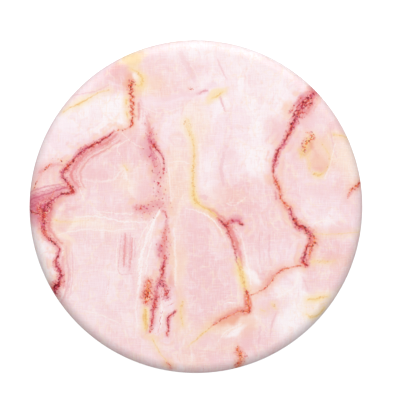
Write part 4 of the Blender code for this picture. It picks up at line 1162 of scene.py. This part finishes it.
def foam_material():
    material, tree, shader = new_material("fine_foam")
    place = object_place(tree)
    cells = add(tree, "ShaderNodeTexVoronoi", {"Vector": place, "Scale": 9000.0}).outputs["Distance"]
    plug(tree, shader.inputs["Base Color"], mix(tree, cells, srgb(38, 38, 40), srgb(70, 70, 73)))
    shader.inputs["Roughness"].default_value = 0.9
    bump(tree, shader, cells, FOAM_CELL_DEPTH)
    return material


def film_material():
    material, tree, shader = new_material("clear_film")
    place = object_place(tree)
    grain = use_group(tree, GRAIN, "ShaderNodeGroup", Place=place, Grain_per_metre=FILM_GRAIN_PER_METRE)
    tone = mix(tree, grain["Tone"], srgb(188, 190, 192), srgb(206, 208, 209))
    plug(tree, shader.inputs["Base Color"], tone)
    plug(tree, shader.inputs["Roughness"], remap(tree, grain["Smudge"], 0.0, 1.0, 0.2, 0.34))
    bump(tree, shader, grain["Height"], FILM_GRAIN_DEPTH)
    return material


def attribute(tree, name, output="Vector"):
    return add(tree, "ShaderNodeAttribute", attribute_name=name).outputs[output]


def with_fields(tree, place, colour, fields):
    """The colour with soft-edged ovals of other paints laid over it, one after another.

    Each oval is laid on before the next is made, because too many masks held at once make the shader
    too big to render.
    """
    for paint, centre, half_size, degrees, strength, *look in fields:
        softness, outline = look or (FIELD_SOFTNESS, None)
        field = use_group(
            tree,
            FIELD,
            "ShaderNodeGroup",
            Place=place,
            Centre=(*centre, 0.0),
            Half_size=(*half_size, 1.0),
            Turn=math.radians(degrees),
            Softness=softness,
        )
        colour = mix(tree, calc(tree, "MULTIPLY", field["Mask"], strength), colour, paint)
        if outline:
            colour = mix(tree, calc(tree, "MULTIPLY", field["Edge"], 0.7), colour, outline)
    return colour


def warp(tree, place):
    return vector_calc(tree, "ADD", place, shift(tree, place, 0.4, 0.9, detail=4.0))


def print_ground(tree, place):
    """The stone's ground: wide fields of colour, facets with pale joints, and fine upright streaks."""
    warped = warp(tree, place)
    colour = with_fields(tree, warped, GROUND, FIELDS)
    facet_place = vector_calc(tree, "MULTIPLY", warped, (1.0, 0.6, 1.0))
    for scale, share in ((0.38, 0.26), (0.9, 0.18)):
        facets = add(tree, "ShaderNodeTexVoronoi", {"Vector": facet_place, "Scale": scale})
        tint = add(tree, "ShaderNodeSeparateXYZ", {"Vector": facets.outputs["Color"]}).outputs["X"]
        colour = mix(tree, remap(tree, tint, 0.5, 1.0, 0.0, share), colour, WHITE)
        colour = mix(tree, remap(tree, tint, 0.5, 0.0, 0.0, share), colour, ROSE)
        edge = add(
            tree,
            "ShaderNodeTexVoronoi",
            {"Vector": facet_place, "Scale": scale},
            feature="DISTANCE_TO_EDGE",
        ).outputs["Distance"]
        jointed = remap(tree, noise(tree, place, 0.6, detail=3.0), 0.42, 0.62)
        joint = calc(tree, "MULTIPLY", remap(tree, edge, 0.05, 0.0), jointed)
        colour = mix(tree, calc(tree, "MULTIPLY", joint, 0.55), colour, CREAM)
    upright = vector_calc(tree, "MULTIPLY", warped, (1.0, 0.12, 1.0))
    streaks = noise(tree, upright, 2.4, detail=4.0, roughness=0.65)
    streaky = remap(tree, noise(tree, place, 0.35, detail=2.0), 0.42, 0.6)
    rosy = calc(tree, "MULTIPLY", remap(tree, streaks, 0.5, 0.7, 0.0, 0.35), streaky)
    colour = mix(tree, rosy, colour, ROSE)
    pale = calc(tree, "MULTIPLY", remap(tree, streaks, 0.5, 0.3, 0.0, 0.35), streaky)
    colour = mix(tree, pale, colour, WHITE)
    clouds = noise(tree, warped, 1.3, detail=5.0, roughness=0.65)
    colour = mix(tree, remap(tree, clouds, 0.52, 0.72, 0.0, 0.45), colour, PEACH)
    colour = mix(tree, remap(tree, clouds, 0.48, 0.3, 0.0, 0.4), colour, LILAC)
    # The fine upright and level threads of the printing
    for stretch in ((9.0, 0.7, 1.0), (0.7, 9.0, 1.0)):
        threads = noise(tree, vector_calc(tree, "MULTIPLY", place, stretch), 1.0, detail=1.0)
        colour = mix(tree, remap(tree, threads, 0.5, 0.72, 0.0, 0.26), colour, WHITE)
        colour = mix(tree, remap(tree, threads, 0.5, 0.28, 0.0, 0.1), colour, GROUND_THREAD)
    return colour


def times(tree, *values):
    """The product of two or more values."""
    product = values[0]
    for value in values[1:]:
        product = calc(tree, "MULTIPLY", product, value)
    return product


def print_line(tree, paint, ragged, grains, chance):
    """The masks of one paint's lines, from the ways and loads that the mesh stores."""
    return use_group(
        tree,
        LINE,
        "ShaderNodeGroup",
        Gap_and_width=attribute(tree, paint + "_gap"),
        Load=attribute(tree, paint + "_load", "Fac"),
        Ragged=ragged,
        Grains=grains,
        Tear=LINE_TEARS[paint],
        Chance=chance,
    )


def lay_bands(tree, colour, crimson, load, patches):
    """Bands of coral and cream that follow the crimson lines."""
    wave = calc(tree, "SINE", calc(tree, "MULTIPLY", crimson["Distance"], BAND_RADIANS_PER_MM))
    near = remap(tree, crimson["Distance"], 3.2, 0.6)
    reach = times(tree, near, load, remap(tree, patches, 0.4, 0.6))
    colour = mix(tree, times(tree, remap(tree, wave, 0.1, 1.0), reach, 0.5), colour, CORAL)
    return mix(tree, times(tree, remap(tree, wave, -0.1, -1.0), reach, 0.5), colour, CREAM)


def lay_halos(tree, colour, lines, loads, patches):
    """Rose close to a crimson line and peach in patches beyond it, then warm glows on ember and gold."""
    away = lines["crimson"]["Distance"]
    glow = times(tree, remap(tree, away, 1.3, 0.05), loads["crimson"], 0.45)
    colour = mix(tree, glow, colour, CRIMSON_HALO)
    ring = times(tree, remap(tree, away, 1.6, 0.6), remap(tree, away, 0.25, 0.6))
    colour = mix(tree, times(tree, ring, remap(tree, patches, 0.45, 0.6, 0.0, 0.7)), colour, PEACH)
    glow = times(tree, remap(tree, lines["ember"]["Distance"], 1.2, 0.05), loads["ember"], 0.6)
    colour = mix(tree, glow, colour, EMBER_HALO)
    glow = times(tree, remap(tree, lines["gold"]["Distance"], 1.0, 0.05), loads["gold"], 0.6)
    return mix(tree, glow, colour, AMBER)


def lay_soft_lines(tree, colour, lines, patches):
    """The rose and cream lines, then the soft bands of salmon and plum that the grainy lines lie on."""
    rose, cream, salmon, plum = lines["rose"], lines["cream"], lines["salmon"], lines["plum"]
    colour = mix(tree, times(tree, rose["Fringe"], 0.5), colour, ROSE)
    colour = mix(tree, times(tree, rose["Core"], 0.8), colour, DUSK)
    colour = mix(tree, times(tree, cream["Fringe"], 0.4), colour, CREAM)
    colour = mix(tree, times(tree, cream["Core"], 0.85), colour, WHITE)
    soft_red = mix(tree, remap(tree, patches, 0.42, 0.6), SOFT_RED, SALMON)
    colour = mix(tree, times(tree, salmon["Glow"], 0.45), colour, CORAL)
    colour = mix(tree, times(tree, salmon["Fringe"], 0.35), colour, soft_red)
    colour = mix(tree, times(tree, salmon["Core"], 0.85), colour, soft_red)
    colour = mix(tree, times(tree, plum["Glow"], 0.5), colour, PLUM_GLOW)
    return mix(tree, times(tree, plum["Core"], 0.75), colour, PLUM_CORE)


def lay_grainy_lines(tree, colour, place, lines, loads, pick):
    """The crimson, ember and gold lines as mosaics of grains, each grain's tone chosen by pick."""
    crimson, ember, gold = lines["crimson"], lines["ember"], lines["gold"]
    # A crimson line drifts to ember and to magenta on its way
    drift = noise(tree, place, 0.7, detail=2.0)
    other = mix(tree, remap(tree, drift, 0.46, 0.56), MAGENTA, EMBER)
    lighter = calc(tree, "ADD", pick, remap(tree, loads["crimson"], 0.9, 0.1, 0.0, 0.26))
    red = ramp_of(tree, lighter, (0.0, SOOT), (0.1, WINE), (0.24, CRIMSON), (0.5, other))
    fire = ramp_of(tree, pick, (0.0, CHAR), (0.2, EMBER), (0.55, FLAME), (0.85, PEACH))
    yellow = ramp_of(tree, pick, (0.0, OCHRE), (0.05, GOLD), (0.3, HONEY), (0.75, AMBER))
    dust = ramp_of(tree, pick, (0.0, BRICK), (0.14, WATERMELON), (0.45, CORAL), (0.8, PEACH))
    stain = mix(tree, remap(tree, drift, 0.42, 0.52), COOL_STAIN, WARM_STAIN)
    colour = mix(tree, times(tree, crimson["Glow"], 0.75), colour, stain)
    colour = mix(tree, times(tree, ember["Glow"], 0.65), colour, EMBER_GLOW)
    colour = mix(tree, times(tree, gold["Glow"], 0.5), colour, AMBER)
    colour = mix(tree, times(tree, gold["Core"], 0.65), colour, GOLD_CORE)
    colour = mix(tree, times(tree, gold["Grainy"], remap(tree, pick, 0.6, 0.5), 0.5), colour, yellow)
    colour = mix(tree, times(tree, gold["Thread"], loads["gold"], 0.5), colour, GOLD_THREAD)
    colour = mix(tree, times(tree, ember["Loose"], 0.7), colour, dust)
    colour = mix(tree, times(tree, crimson["Loose"], 0.6), colour, dust)
    colour = mix(tree, times(tree, ember["Grainy"], 0.95), colour, fire)
    colour = mix(tree, times(tree, crimson["Core"], 0.65), colour, mix(tree, 0.35, stain, CRIMSON))
    colour = mix(tree, times(tree, crimson["Grainy"], remap(tree, lighter, 0.8, 0.7)), colour, red)
    # Thin threads that come and go along the middle of the red lines
    broken = remap(tree, noise(tree, place, 1.6, detail=3.0), 0.4, 0.56, 0.15, 0.85)
    thread = times(tree, crimson["Thread"], loads["crimson"], broken)
    colour = mix(tree, thread, colour, CRIMSON_THREAD)
    thread = times(tree, ember["Thread"], loads["ember"], broken, 0.6)
    return mix(tree, thread, colour, EMBER_THREAD)


def marble_print():
    """The printed stone: the ground, then each paint's lines with their halos, bands, grains and specks."""
    material, tree, shader = new_material("marble_print")
    place = attribute(tree, "print_place")
    colour = print_ground(tree, place)
    ragged = shift(tree, place, 2.6, 0.13, detail=3.0)
    grain_place = vector_calc(tree, "ADD", place, shift(tree, place, 5.0, 0.12))
    mosaic = add(tree, "ShaderNodeTexVoronoi", {"Vector": grain_place, "Scale": GRAINS_PER_MM})
    chances = add(tree, "ShaderNodeSeparateXYZ", {"Vector": mosaic.outputs["Color"]}).outputs
    clumps = noise(tree, place, 2.4, detail=2.0)
    lone = calc(tree, "MULTIPLY", chances["Y"], 0.75)
    pick = calc(tree, "ADD", lone, remap(tree, clumps, 0.35, 0.65, -0.1, 0.35))
    patches = noise(tree, place, 0.8, detail=2.0)
    lines = {paint: print_line(tree, paint, ragged, chances["X"], chances["Z"]) for paint in LINE_TEARS}
    loads = {paint: attribute(tree, paint + "_load", "Fac") for paint in ("crimson", "ember", "gold")}

    colour = lay_bands(tree, colour, lines["crimson"], loads["crimson"], patches)
    colour = lay_halos(tree, colour, lines, loads, patches)
    colour = with_fields(tree, warp(tree, place), colour, STAINS)
    colour = lay_soft_lines(tree, colour, lines, patches)
    colour = lay_grainy_lines(tree, colour, place, lines, loads, pick)

    plug(tree, shader.inputs["Base Color"], colour)
    smudge = noise(tree, object_place(tree), 220.0, detail=4.0, roughness=0.6)
    plug(tree, shader.inputs["Roughness"], remap(tree, smudge, 0.35, 0.7, 0.36, 0.46))
    shader.inputs["Specular IOR Level"].default_value = 0.25
    peel = noise(tree, object_place(tree), 2200.0, detail=2.0)
    bump(tree, shader, peel, PRINT_PEEL_DEPTH)
    return material


# ---------------------------------------------------------------- pieces


def make_cap(finish, inside):
    """The printed top, with its print's lines stored as attributes of its own mesh."""
    radius, top, bottom = CAP_HIGH.x, CAP_HIGH.z, CAP_LOW.z
    inner, ceiling = radius - CAP_RIM_WALL, top - CAP_WALL
    corners = [
        (0.0, top),
        (radius, top, CAP_EDGE),
        (radius, bottom, CAP_FOOT),
        (inner, bottom, CAP_INNER_EDGE),
        (inner, ceiling),
    ]
    outline = spaced(rounded(corners, closed=False), PRINT_STEP)
    outline = [(p.x, p.y) for p in outline] + [(0.0, ceiling)]
    obj = turned("printed_cap", outline, finish, closed=False, segments=PRINT_SEGMENTS)
    modifier = obj.modifiers.new("print", "NODES")
    modifier.node_group = PRINT_FIELDS
    helpers = {paint: line_routes(paint, lines) for paint, (lines, _) in PAINTS.items()}
    values = {paint + "_routes": helper for paint, helper in helpers.items()}
    values.update({paint + "_wobble": wobble for paint, (_, wobble) in PAINTS.items()})
    modifier_inputs(modifier, Finish=finish, **values)
    piece = finished(obj, "printed_cap", "top", "printed_cap", "top_cap")
    piece.data.materials.append(inside)
    for face in piece.data.polygons:
        out = face.center.xy.length
        face.material_index = int(out < inner + CAP_FOOT and face.center.z < ceiling + CAP_WALL / 2)
    for helper in helpers.values():
        bpy.data.objects.remove(helper, do_unlink=True)
    return piece


def make_button_plate(finish):
    """The moulded plate under the cap, with its skirt, its ribs, and the hub and lugs of the turn lock."""
    radius, top, bottom = PLATE_HIGH.x, PLATE_HIGH.z, PLATE_LOW.z
    skirt_inner, ceiling = radius - SKIRT_WALL, top - PLATE_THICKNESS
    corners = [
        (0.0, top),
        (radius, top, CRISP),
        (radius, SKIRT_BOTTOM, SOFT),
        (skirt_inner, SKIRT_BOTTOM, SOFT),
        (skirt_inner, ceiling, CRISP),
        (HUB_RADIUS, ceiling, CRISP),
        (HUB_RADIUS, bottom, SOFT),
        (HUB_HOLLOW_RADIUS, bottom, CRISP),
        (HUB_HOLLOW_RADIUS, HUB_HOLLOW_TOP, CRISP),
        (0.0, HUB_HOLLOW_TOP),
    ]
    obj = turned("button_plate_moulding", corners, finish, closed=False)
    rib_top, rib_foot = ceiling + RIB_HIDDEN, SKIRT_BOTTOM + RIB_FOOT_RISE
    rib_back = skirt_inner + RIB_HIDDEN
    rib = [
        (RIB_INNER, rib_top),
        (RIB_INNER, ceiling - RIB_INNER_DROP),
        (skirt_inner - RIB_FOOT_WIDTH, rib_foot),
        (rib_back, rib_foot),
        (rib_back, rib_top),
    ]
    lug_root, lug_top = HUB_RADIUS - LUG_ROOT, bottom + LUG_THICKNESS
    lug = [
        (lug_root, bottom),
        (LUG_REACH - LUG_BEVEL_REACH, bottom),
        (LUG_REACH, bottom + LUG_BEVEL_RISE),
        (LUG_REACH, lug_top),
        (lug_root, lug_top),
    ]
    helpers = add_ring_of(obj, slab("rib", rib, RIB_WIDTH), RIB_COUNT, "UNION", finish)
    helpers += add_ring_of(obj, slab("lug", lug, LUG_WIDTH), LUG_COUNT, "UNION", finish)
    return assembled(obj, helpers, "button_plate_moulding", "top", "lock_plastic", "button_plate")


def make_base(finish):
    """The dish that everything folds into, with windows for the clamp ring's snaps."""
    radius = BASE_HIGH.x
    floor_top = FOOT_LOW.z - PIECE_GAP
    underside = FOAM_TOP + PIECE_GAP
    corners = [
        (0.0, floor_top),
        (WELL_RADIUS, floor_top, CRISP),
        (WELL_RADIUS, BASE_HIGH.z, EASED),
        (radius, BASE_HIGH.z, BASE_TOP_EDGE),
        (radius, BASE_LOW.z, BASE_BOTTOM_EDGE),
        (LIP_INNER, BASE_LOW.z, EASED),
        (LIP_INNER, underside, SHARP),
        (0.0, underside),
    ]
    obj = turned("base_dish", corners, finish, closed=False)
    window = slab("window", snap_outline(WINDOW_ROOM), SNAP_WIDTH + 2 * WINDOW_SIDE_ROOM)
    helpers = add_ring_of(obj, window, SNAP_COUNT, "DIFFERENCE", finish, FIRST_SNAP)
    return assembled(obj, helpers, "base_dish", "base", "shell_plastic", "base_platform")


def snap_outline(room=0.0):
    """A snap's outline, ramped below so that the ring clicks down past its window's edge. room widens it."""
    middle = (CLAMP_LOW.z + CLAMP_HIGH.z) / 2
    low, high = middle - SNAP_HEIGHT / 2 - room, middle + SNAP_HEIGHT / 2 + room
    root, tip = WELL_RADIUS - SNAP_ROOT, CLAMP_HIGH.x + room
    return [
        (root, low),
        (tip - SNAP_RAMP_REACH, low),
        (tip, low + SNAP_RAMP_RISE),
        (tip, high - SNAP_CATCH_DROP),
        (root, high),
    ]


def make_clamp_ring(finish):
    """The ring that holds the accordion's flange down in the base."""
    outer = WELL_RADIUS - PIECE_GAP
    bottom, top = CLAMP_LOW.z, CLAMP_HIGH.z
    corners = [
        (outer, top, CRISP),
        (outer, bottom, CRISP),
        (CLAMP_INNER, bottom, CRISP),
        (CLAMP_INNER, top, CLAMP_LEAD_IN),
    ]
    obj = turned("snap_ring", corners, finish)
    snap = slab("snap", snap_outline(), SNAP_WIDTH)
    helpers = add_ring_of(obj, snap, SNAP_COUNT, "UNION", finish, FIRST_SNAP)
    return assembled(obj, helpers, "snap_ring", "base", "shell_plastic", "clamp_ring")


def wall_radius(index, height):
    """Outer radius of an accordion wall at a height. Wall 0 is the foot's, and wall 3 is the neck's."""
    share = (height - FOLD_BOTTOM) / (FOLD_TOP - FOLD_BOTTOM)
    return WALL_RADIUS - index * WALL_PITCH - share * WALL_LEAN


def make_foot(finish):
    """The largest wall, with the flange that the clamp ring holds down."""
    flange_top = CLAMP_LOW.z - PIECE_GAP
    corners = [
        (wall_radius(0, FOLD_TOP), FOLD_TOP, CREST),
        (wall_radius(0, flange_top), flange_top, SOFT),
        (FOOT_HIGH.x, flange_top, CRISP),
        (FOOT_HIGH.x, FOOT_LOW.z, CRISP),
        (wall_radius(0, FOOT_LOW.z) - WALL_THICKNESS, FOOT_LOW.z, SOFT),
        (wall_radius(0, FOLD_TOP) - WALL_THICKNESS, FOLD_TOP, CREST),
    ]
    obj = turned("foot_wall", corners, finish)
    return finished(obj, "foot_wall", "base", "accordion_rubber", "accordion_foot")


def make_tier(name, index, body, node, finish):
    """A middle wall: a plain ring that leans in towards its top."""
    bottom, top = wall_radius(index, FOLD_BOTTOM), wall_radius(index, FOLD_TOP)
    corners = [
        (top, FOLD_TOP, CREST),
        (bottom, FOLD_BOTTOM, CREST),
        (bottom - WALL_THICKNESS, FOLD_BOTTOM, CREST),
        (top - WALL_THICKNESS, FOLD_TOP, CREST),
    ]
    return finished(turned(name, corners, finish), name, body, "accordion_rubber", node)


def make_neck(finish):
    """The smallest wall, with the groove and the lip that hold the lock collar."""
    groove = COLLAR_RADIUS + PIECE_GAP
    lip_top = FOLD_BOTTOM + SOCKET_LIP
    low, high = COLLAR_GROOVE
    corners = [
        (wall_radius(3, FOLD_TOP), FOLD_TOP, CREST),
        (wall_radius(3, FOLD_BOTTOM), FOLD_BOTTOM, CREST),
        (SOCKET_LIP_RADIUS, FOLD_BOTTOM, EASED),
        (SOCKET_LIP_RADIUS, lip_top, CRISP),
        (SOCKET_RADIUS, lip_top),
        (SOCKET_RADIUS, low),
        (groove, low),
        (groove, high),
        (SOCKET_RADIUS, high),
        (SOCKET_RADIUS, FOLD_TOP, EASED),
    ]
    obj = turned("neck_wall", corners, finish)
    return finished(obj, "neck_wall", "neck", "accordion_rubber", "accordion_neck")


def make_web(name, index, node, finish):
    """The thin web from the top of one wall down to the foot of the next."""
    top = wall_radius(index, FOLD_TOP) - WALL_THICKNESS + WEB_TUCK
    bottom = wall_radius(index + 1, FOLD_BOTTOM) - WEB_TUCK
    high, low = FOLD_TOP - WEB_SET, FOLD_BOTTOM + WEB_SET
    corners = [(top, high), (bottom + WEB_THICKNESS, low), (bottom, low), (top - WEB_THICKNESS, high)]
    obj = turned(name, corners, finish, step=(FOLD_TOP - FOLD_BOTTOM) / WEB_ROWS)
    piece = sharpen(settle(obj, name), WEB_SHARP_ANGLE)
    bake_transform(piece)
    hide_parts(node)
    return piece


def make_layer(name, slot, node, box, edge, finish):
    """A flat round layer of the adhesive."""
    low, high = box
    corners = [(0.0, high.z), (high.x, high.z, edge), (high.x, low.z, edge), (0.0, low.z)]
    return finished(turned(name, corners, finish, closed=False), name, "base", slot, node)


def finish_collar(finish):
    """The lock collar keeps its own mesh and takes the moulded lock's plastic."""
    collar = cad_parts["lock_collar"]
    collar.data.materials.clear()
    collar.data.materials.append(finish)


def slab(name, outline, width):
    """A helper plate: an outline in the XZ plane, given as (outward, up), as thick as width across Y."""
    count = len(outline)
    places = [(x, -width / 2, z) for x, z in outline] + [(x, width / 2, z) for x, z in outline]
    faces = [tuple(range(count)), tuple(reversed(range(count, 2 * count)))]
    faces += [(i + count, (i + 1) % count + count, (i + 1) % count, i) for i in range(count)]
    mesh = bpy.data.meshes.new(name)
    mesh.from_pydata(places, [], faces)
    mesh.validate()
    shape = bmesh.new()
    shape.from_mesh(mesh)
    bmesh.ops.recalc_face_normals(shape, faces=shape.faces)
    shape.to_mesh(mesh)
    shape.free()
    obj = bpy.data.objects.new(name, mesh)
    bpy.context.scene.collection.objects.link(obj)
    return obj


def ring_tree(operation):
    """Puts copies of a part at equal angles about Z and adds them to the shape, or cuts them from it."""
    tree, given, made = new_group(
        "ring_of_parts_" + operation.lower(),
        "GeometryNodeTree",
        [
            ("Geometry", "INPUT", "NodeSocketGeometry", None),
            ("Part", "INPUT", "NodeSocketObject", None),
            ("Count", "INPUT", "NodeSocketInt", 4),
            ("First", "INPUT", "NodeSocketFloat", 0.0),
            ("Finish", "INPUT", "NodeSocketMaterial", None),
            ("Geometry", "OUTPUT", "NodeSocketGeometry", None),
        ],
    )
    part = add(tree, "GeometryNodeObjectInfo", {"Object": given["Part"]}).outputs["Geometry"]
    points = add(tree, "GeometryNodePoints", {"Count": given["Count"]}).outputs[0]
    index = add(tree, "GeometryNodeInputIndex").outputs[0]
    share = calc(tree, "DIVIDE", index, given["Count"])
    angle = calc(tree, "ADD", calc(tree, "MULTIPLY", share, TURN), given["First"])
    turn = add(tree, "ShaderNodeCombineXYZ", {"Z": angle}).outputs[0]
    placed = add(
        tree,
        "GeometryNodeInstanceOnPoints",
        {"Points": points, "Instance": part, "Rotation": turn},
    )
    parts = add(tree, "GeometryNodeRealizeInstances", {"Geometry": placed.outputs[0]}).outputs[0]
    together = add(tree, "GeometryNodeMeshBoolean", operation=operation, solver="EXACT")
    if operation == "DIFFERENCE":
        tree.links.new(given["Geometry"], together.inputs["Mesh 1"])
    else:
        tree.links.new(given["Geometry"], together.inputs["Mesh 2"])
    tree.links.new(parts, together.inputs["Mesh 2"])
    whole = add(tree, "GeometryNodeRealizeInstances", {"Geometry": together.outputs["Mesh"]}).outputs[0]
    painted = add(tree, "GeometryNodeSetMaterial", {"Geometry": whole, "Material": given["Finish"]})
    tree.links.new(painted.outputs[0], made["Geometry"])
    return tree


def add_ring_of(obj, part, count, operation, finish, first=0.0):
    """Adds a ring of count parts to the turned shape, or cuts it, and gives back the helper part."""
    modifier = obj.modifiers.new(part.name, "NODES")
    modifier.node_group = RINGS[operation]
    modifier_inputs(modifier, Part=part, Count=count, First=first, Finish=finish)
    return [part]


def assembled(obj, helpers, name, body, slot, *nodes):
    """A finished piece whose helper parts are then removed."""
    piece = finished(obj, name, body, slot, *nodes)
    for helper in helpers:
        bpy.data.objects.remove(helper, do_unlink=True)
    return piece


# ---------------------------------------------------------------- stage

# The room's light, from its weakest side to its strongest and from the floor up
ROOM_SIDES = (0.45, 1.0)
ROOM_HEIGHTS = (0.35, 0.8)

# The floor, a little below the gel, so that the two don't share a plane
FLOOR_HALF = 1.5
FLOOR_GAP = 0.05 * MM
FLOOR_TONE = 0.5
FLOOR_GLOW = 0.8

# The lights, placed from the middle of the top
OVERHEAD_OFFSET = Vector((0.0, 0.05, 0.45))
OVERHEAD_SIZE = 0.5
OVERHEAD_POWER = 0.82
KEY_OFFSET = Vector((0.02, 0.42, 0.26))
KEY_SIZE = 0.34
KEY_POWER = 0.78

# The view: straight down, with the disc a little left of and below the middle of the frame
LENS = 150.0
SENSOR = 36.0
FRAME_WIDTH = 48.08 * MM
VIEW_CENTRE = Vector((0.49, 0.79)) * MM


def area_light(name, place, target, size, power):
    light = bpy.data.lights.new(name, "AREA")
    light.shape = "DISK"
    light.size = size
    light.energy = power
    obj = bpy.data.objects.new(name, light)
    bpy.context.scene.collection.objects.link(obj)
    obj.location = place
    obj.rotation_euler = (Vector(target) - Vector(place)).to_track_quat("-Z", "Y").to_euler()
    return obj


def soft_room():
    """The room's light: strongest from the far side and from above, weakest near the floor on this side."""
    world = bpy.data.worlds.new("soft_room")
    world.use_nodes = True
    tree = world.node_tree
    toward = add(tree, "ShaderNodeTexCoord").outputs["Generated"]
    way = add(tree, "ShaderNodeSeparateXYZ", {"Vector": toward}).outputs
    far_side = calc(tree, "ADD", way["Y"], calc(tree, "MULTIPLY", way["X"], 0.1))
    side_light = remap(tree, far_side, -1.0, 1.0, *ROOM_SIDES, smooth=False)
    height_light = remap(tree, way["Z"], 0.0, 0.9, *ROOM_HEIGHTS)
    strength = calc(tree, "MULTIPLY", side_light, height_light)
    plug(tree, tree.nodes["Background"].inputs["Strength"], strength)
    tree.nodes["Background"].inputs["Color"].default_value = (1.0, 1.0, 1.0, 1.0)
    return world


def floor_material():
    """A pale matt floor that glows for the camera, and is clear when it is seen from below."""
    material, tree, shader = new_material("pale_floor")
    shader.inputs["Base Color"].default_value = (*[FLOOR_TONE] * 3, 1.0)
    shader.inputs["Roughness"].default_value = 0.9
    shader.inputs["Emission Color"].default_value = (1.0, 1.0, 1.0, 1.0)
    path = add(tree, "ShaderNodeLightPath").outputs
    glow = remap(tree, path["Is Camera Ray"], 0.0, 1.0, 0.0, FLOOR_GLOW, smooth=False)
    plug(tree, shader.inputs["Emission Strength"], glow)
    # The room's light comes up through a clear floor to the grip's underside
    underside = add(tree, "ShaderNodeNewGeometry").outputs["Backfacing"]
    gone = calc(tree, "MAXIMUM", underside, calc(tree, "MINIMUM", path["Transparent Depth"], 1.0))
    clear = add(tree, "ShaderNodeBsdfTransparent")
    either = add(tree, "ShaderNodeMixShader", {0: gone, 1: shader.outputs[0], 2: clear.outputs[0]})
    tree.links.new(either.outputs[0], tree.nodes["Material Output"].inputs["Surface"])
    return material


def make_floor():
    mesh = bpy.data.meshes.new("floor")
    half, down = FLOOR_HALF, -FLOOR_GAP
    corners = [(-half, -half, down), (half, -half, down), (half, half, down), (-half, half, down)]
    mesh.from_pydata(corners, [], [(0, 1, 2, 3)])
    floor = bpy.data.objects.new("floor", mesh)
    bpy.context.scene.collection.objects.link(floor)
    floor.data.materials.append(floor_material())


def make_stage():
    """The room's light, the floor and two soft lights."""
    scene = bpy.context.scene
    scene.view_settings.view_transform = "Standard"
    scene.world = soft_room()
    make_floor()
    centre = Vector((0.0, 0.0, CAP_HIGH.z))
    area_light("overhead", centre + OVERHEAD_OFFSET, centre, OVERHEAD_SIZE, OVERHEAD_POWER)
    area_light("key", centre + KEY_OFFSET, centre, KEY_SIZE, KEY_POWER)


def make_camera():
    """A long lens straight above, far enough for FRAME_WIDTH to fill the frame at the disc's edge."""
    camera = bpy.data.cameras.new("camera")
    camera.lens = LENS
    camera.sensor_width = SENSOR
    camera.clip_start = 0.01
    obj = bpy.data.objects.new("camera", camera)
    bpy.context.scene.collection.objects.link(obj)
    distance = FRAME_WIDTH * LENS / SENSOR
    obj.location = (VIEW_CENTRE.x, VIEW_CENTRE.y, CAP_HIGH.z - CAP_EDGE + distance)
    bpy.context.scene.camera = obj


# ---------------------------------------------------------------- the grip

# The lighter and the darker tone of each white material
CAP_WHITES = srgb(244, 240, 238), srgb(238, 233, 230)
SHELL_WHITES = srgb(243, 240, 237), srgb(236, 232, 228)
LOCK_WHITES = srgb(246, 244, 241), srgb(238, 235, 231)
RUBBER_WHITES = srgb(240, 234, 230), srgb(231, 224, 219)

TURNED_SHELL = turned_tree()
RINGS = {"UNION": ring_tree("UNION"), "DIFFERENCE": ring_tree("DIFFERENCE")}
PRINT_FIELDS = print_tree()
FIELD = field_group()
LINE = line_group()
GRAIN = grain_group()

cap_inside = moulded_plastic("cap_inside", *CAP_WHITES, 0.4, SHELL_GRAIN_DEPTH)
shell_plastic = moulded_plastic("moulded_shell", *SHELL_WHITES, 0.36, SHELL_GRAIN_DEPTH)
lock_plastic = moulded_plastic("moulded_lock", *LOCK_WHITES, 0.42, LOCK_GRAIN_DEPTH)
soft_rubber = moulded_plastic(
    "soft_rubber", *RUBBER_WHITES, 0.55, RUBBER_GRAIN_DEPTH, RUBBER_GRAIN_PER_METRE
)

make_cap(marble_print(), cap_inside)
make_button_plate(lock_plastic)
make_foot(soft_rubber)
make_tier("lower_tier_wall", 1, "lower_tier", "accordion_lower_tier", soft_rubber)
make_tier("middle_tier_wall", 2, "middle_tier", "accordion_middle_tier", soft_rubber)
make_neck(soft_rubber)
make_web("lower_web", 0, "fold_web_lower", soft_rubber)
make_web("middle_web", 1, "fold_web_middle", soft_rubber)
make_web("upper_web", 2, "fold_web_upper", soft_rubber)
make_base(shell_plastic)
make_clamp_ring(shell_plastic)
make_layer("gel_pad", "adhesive_gel", "adhesive_gel_pad", GEL_BOX, GEL_EDGE, gel_material())
make_layer("carrier_film", "adhesive_film", "adhesive_film", FILM_BOX, FILM_EDGE, film_material())
make_layer("foam_tape", "adhesive_foam", "adhesive_foam_tape", FOAM_BOX, FOAM_EDGE, foam_material())
finish_collar(lock_plastic)
make_stage()
make_camera()
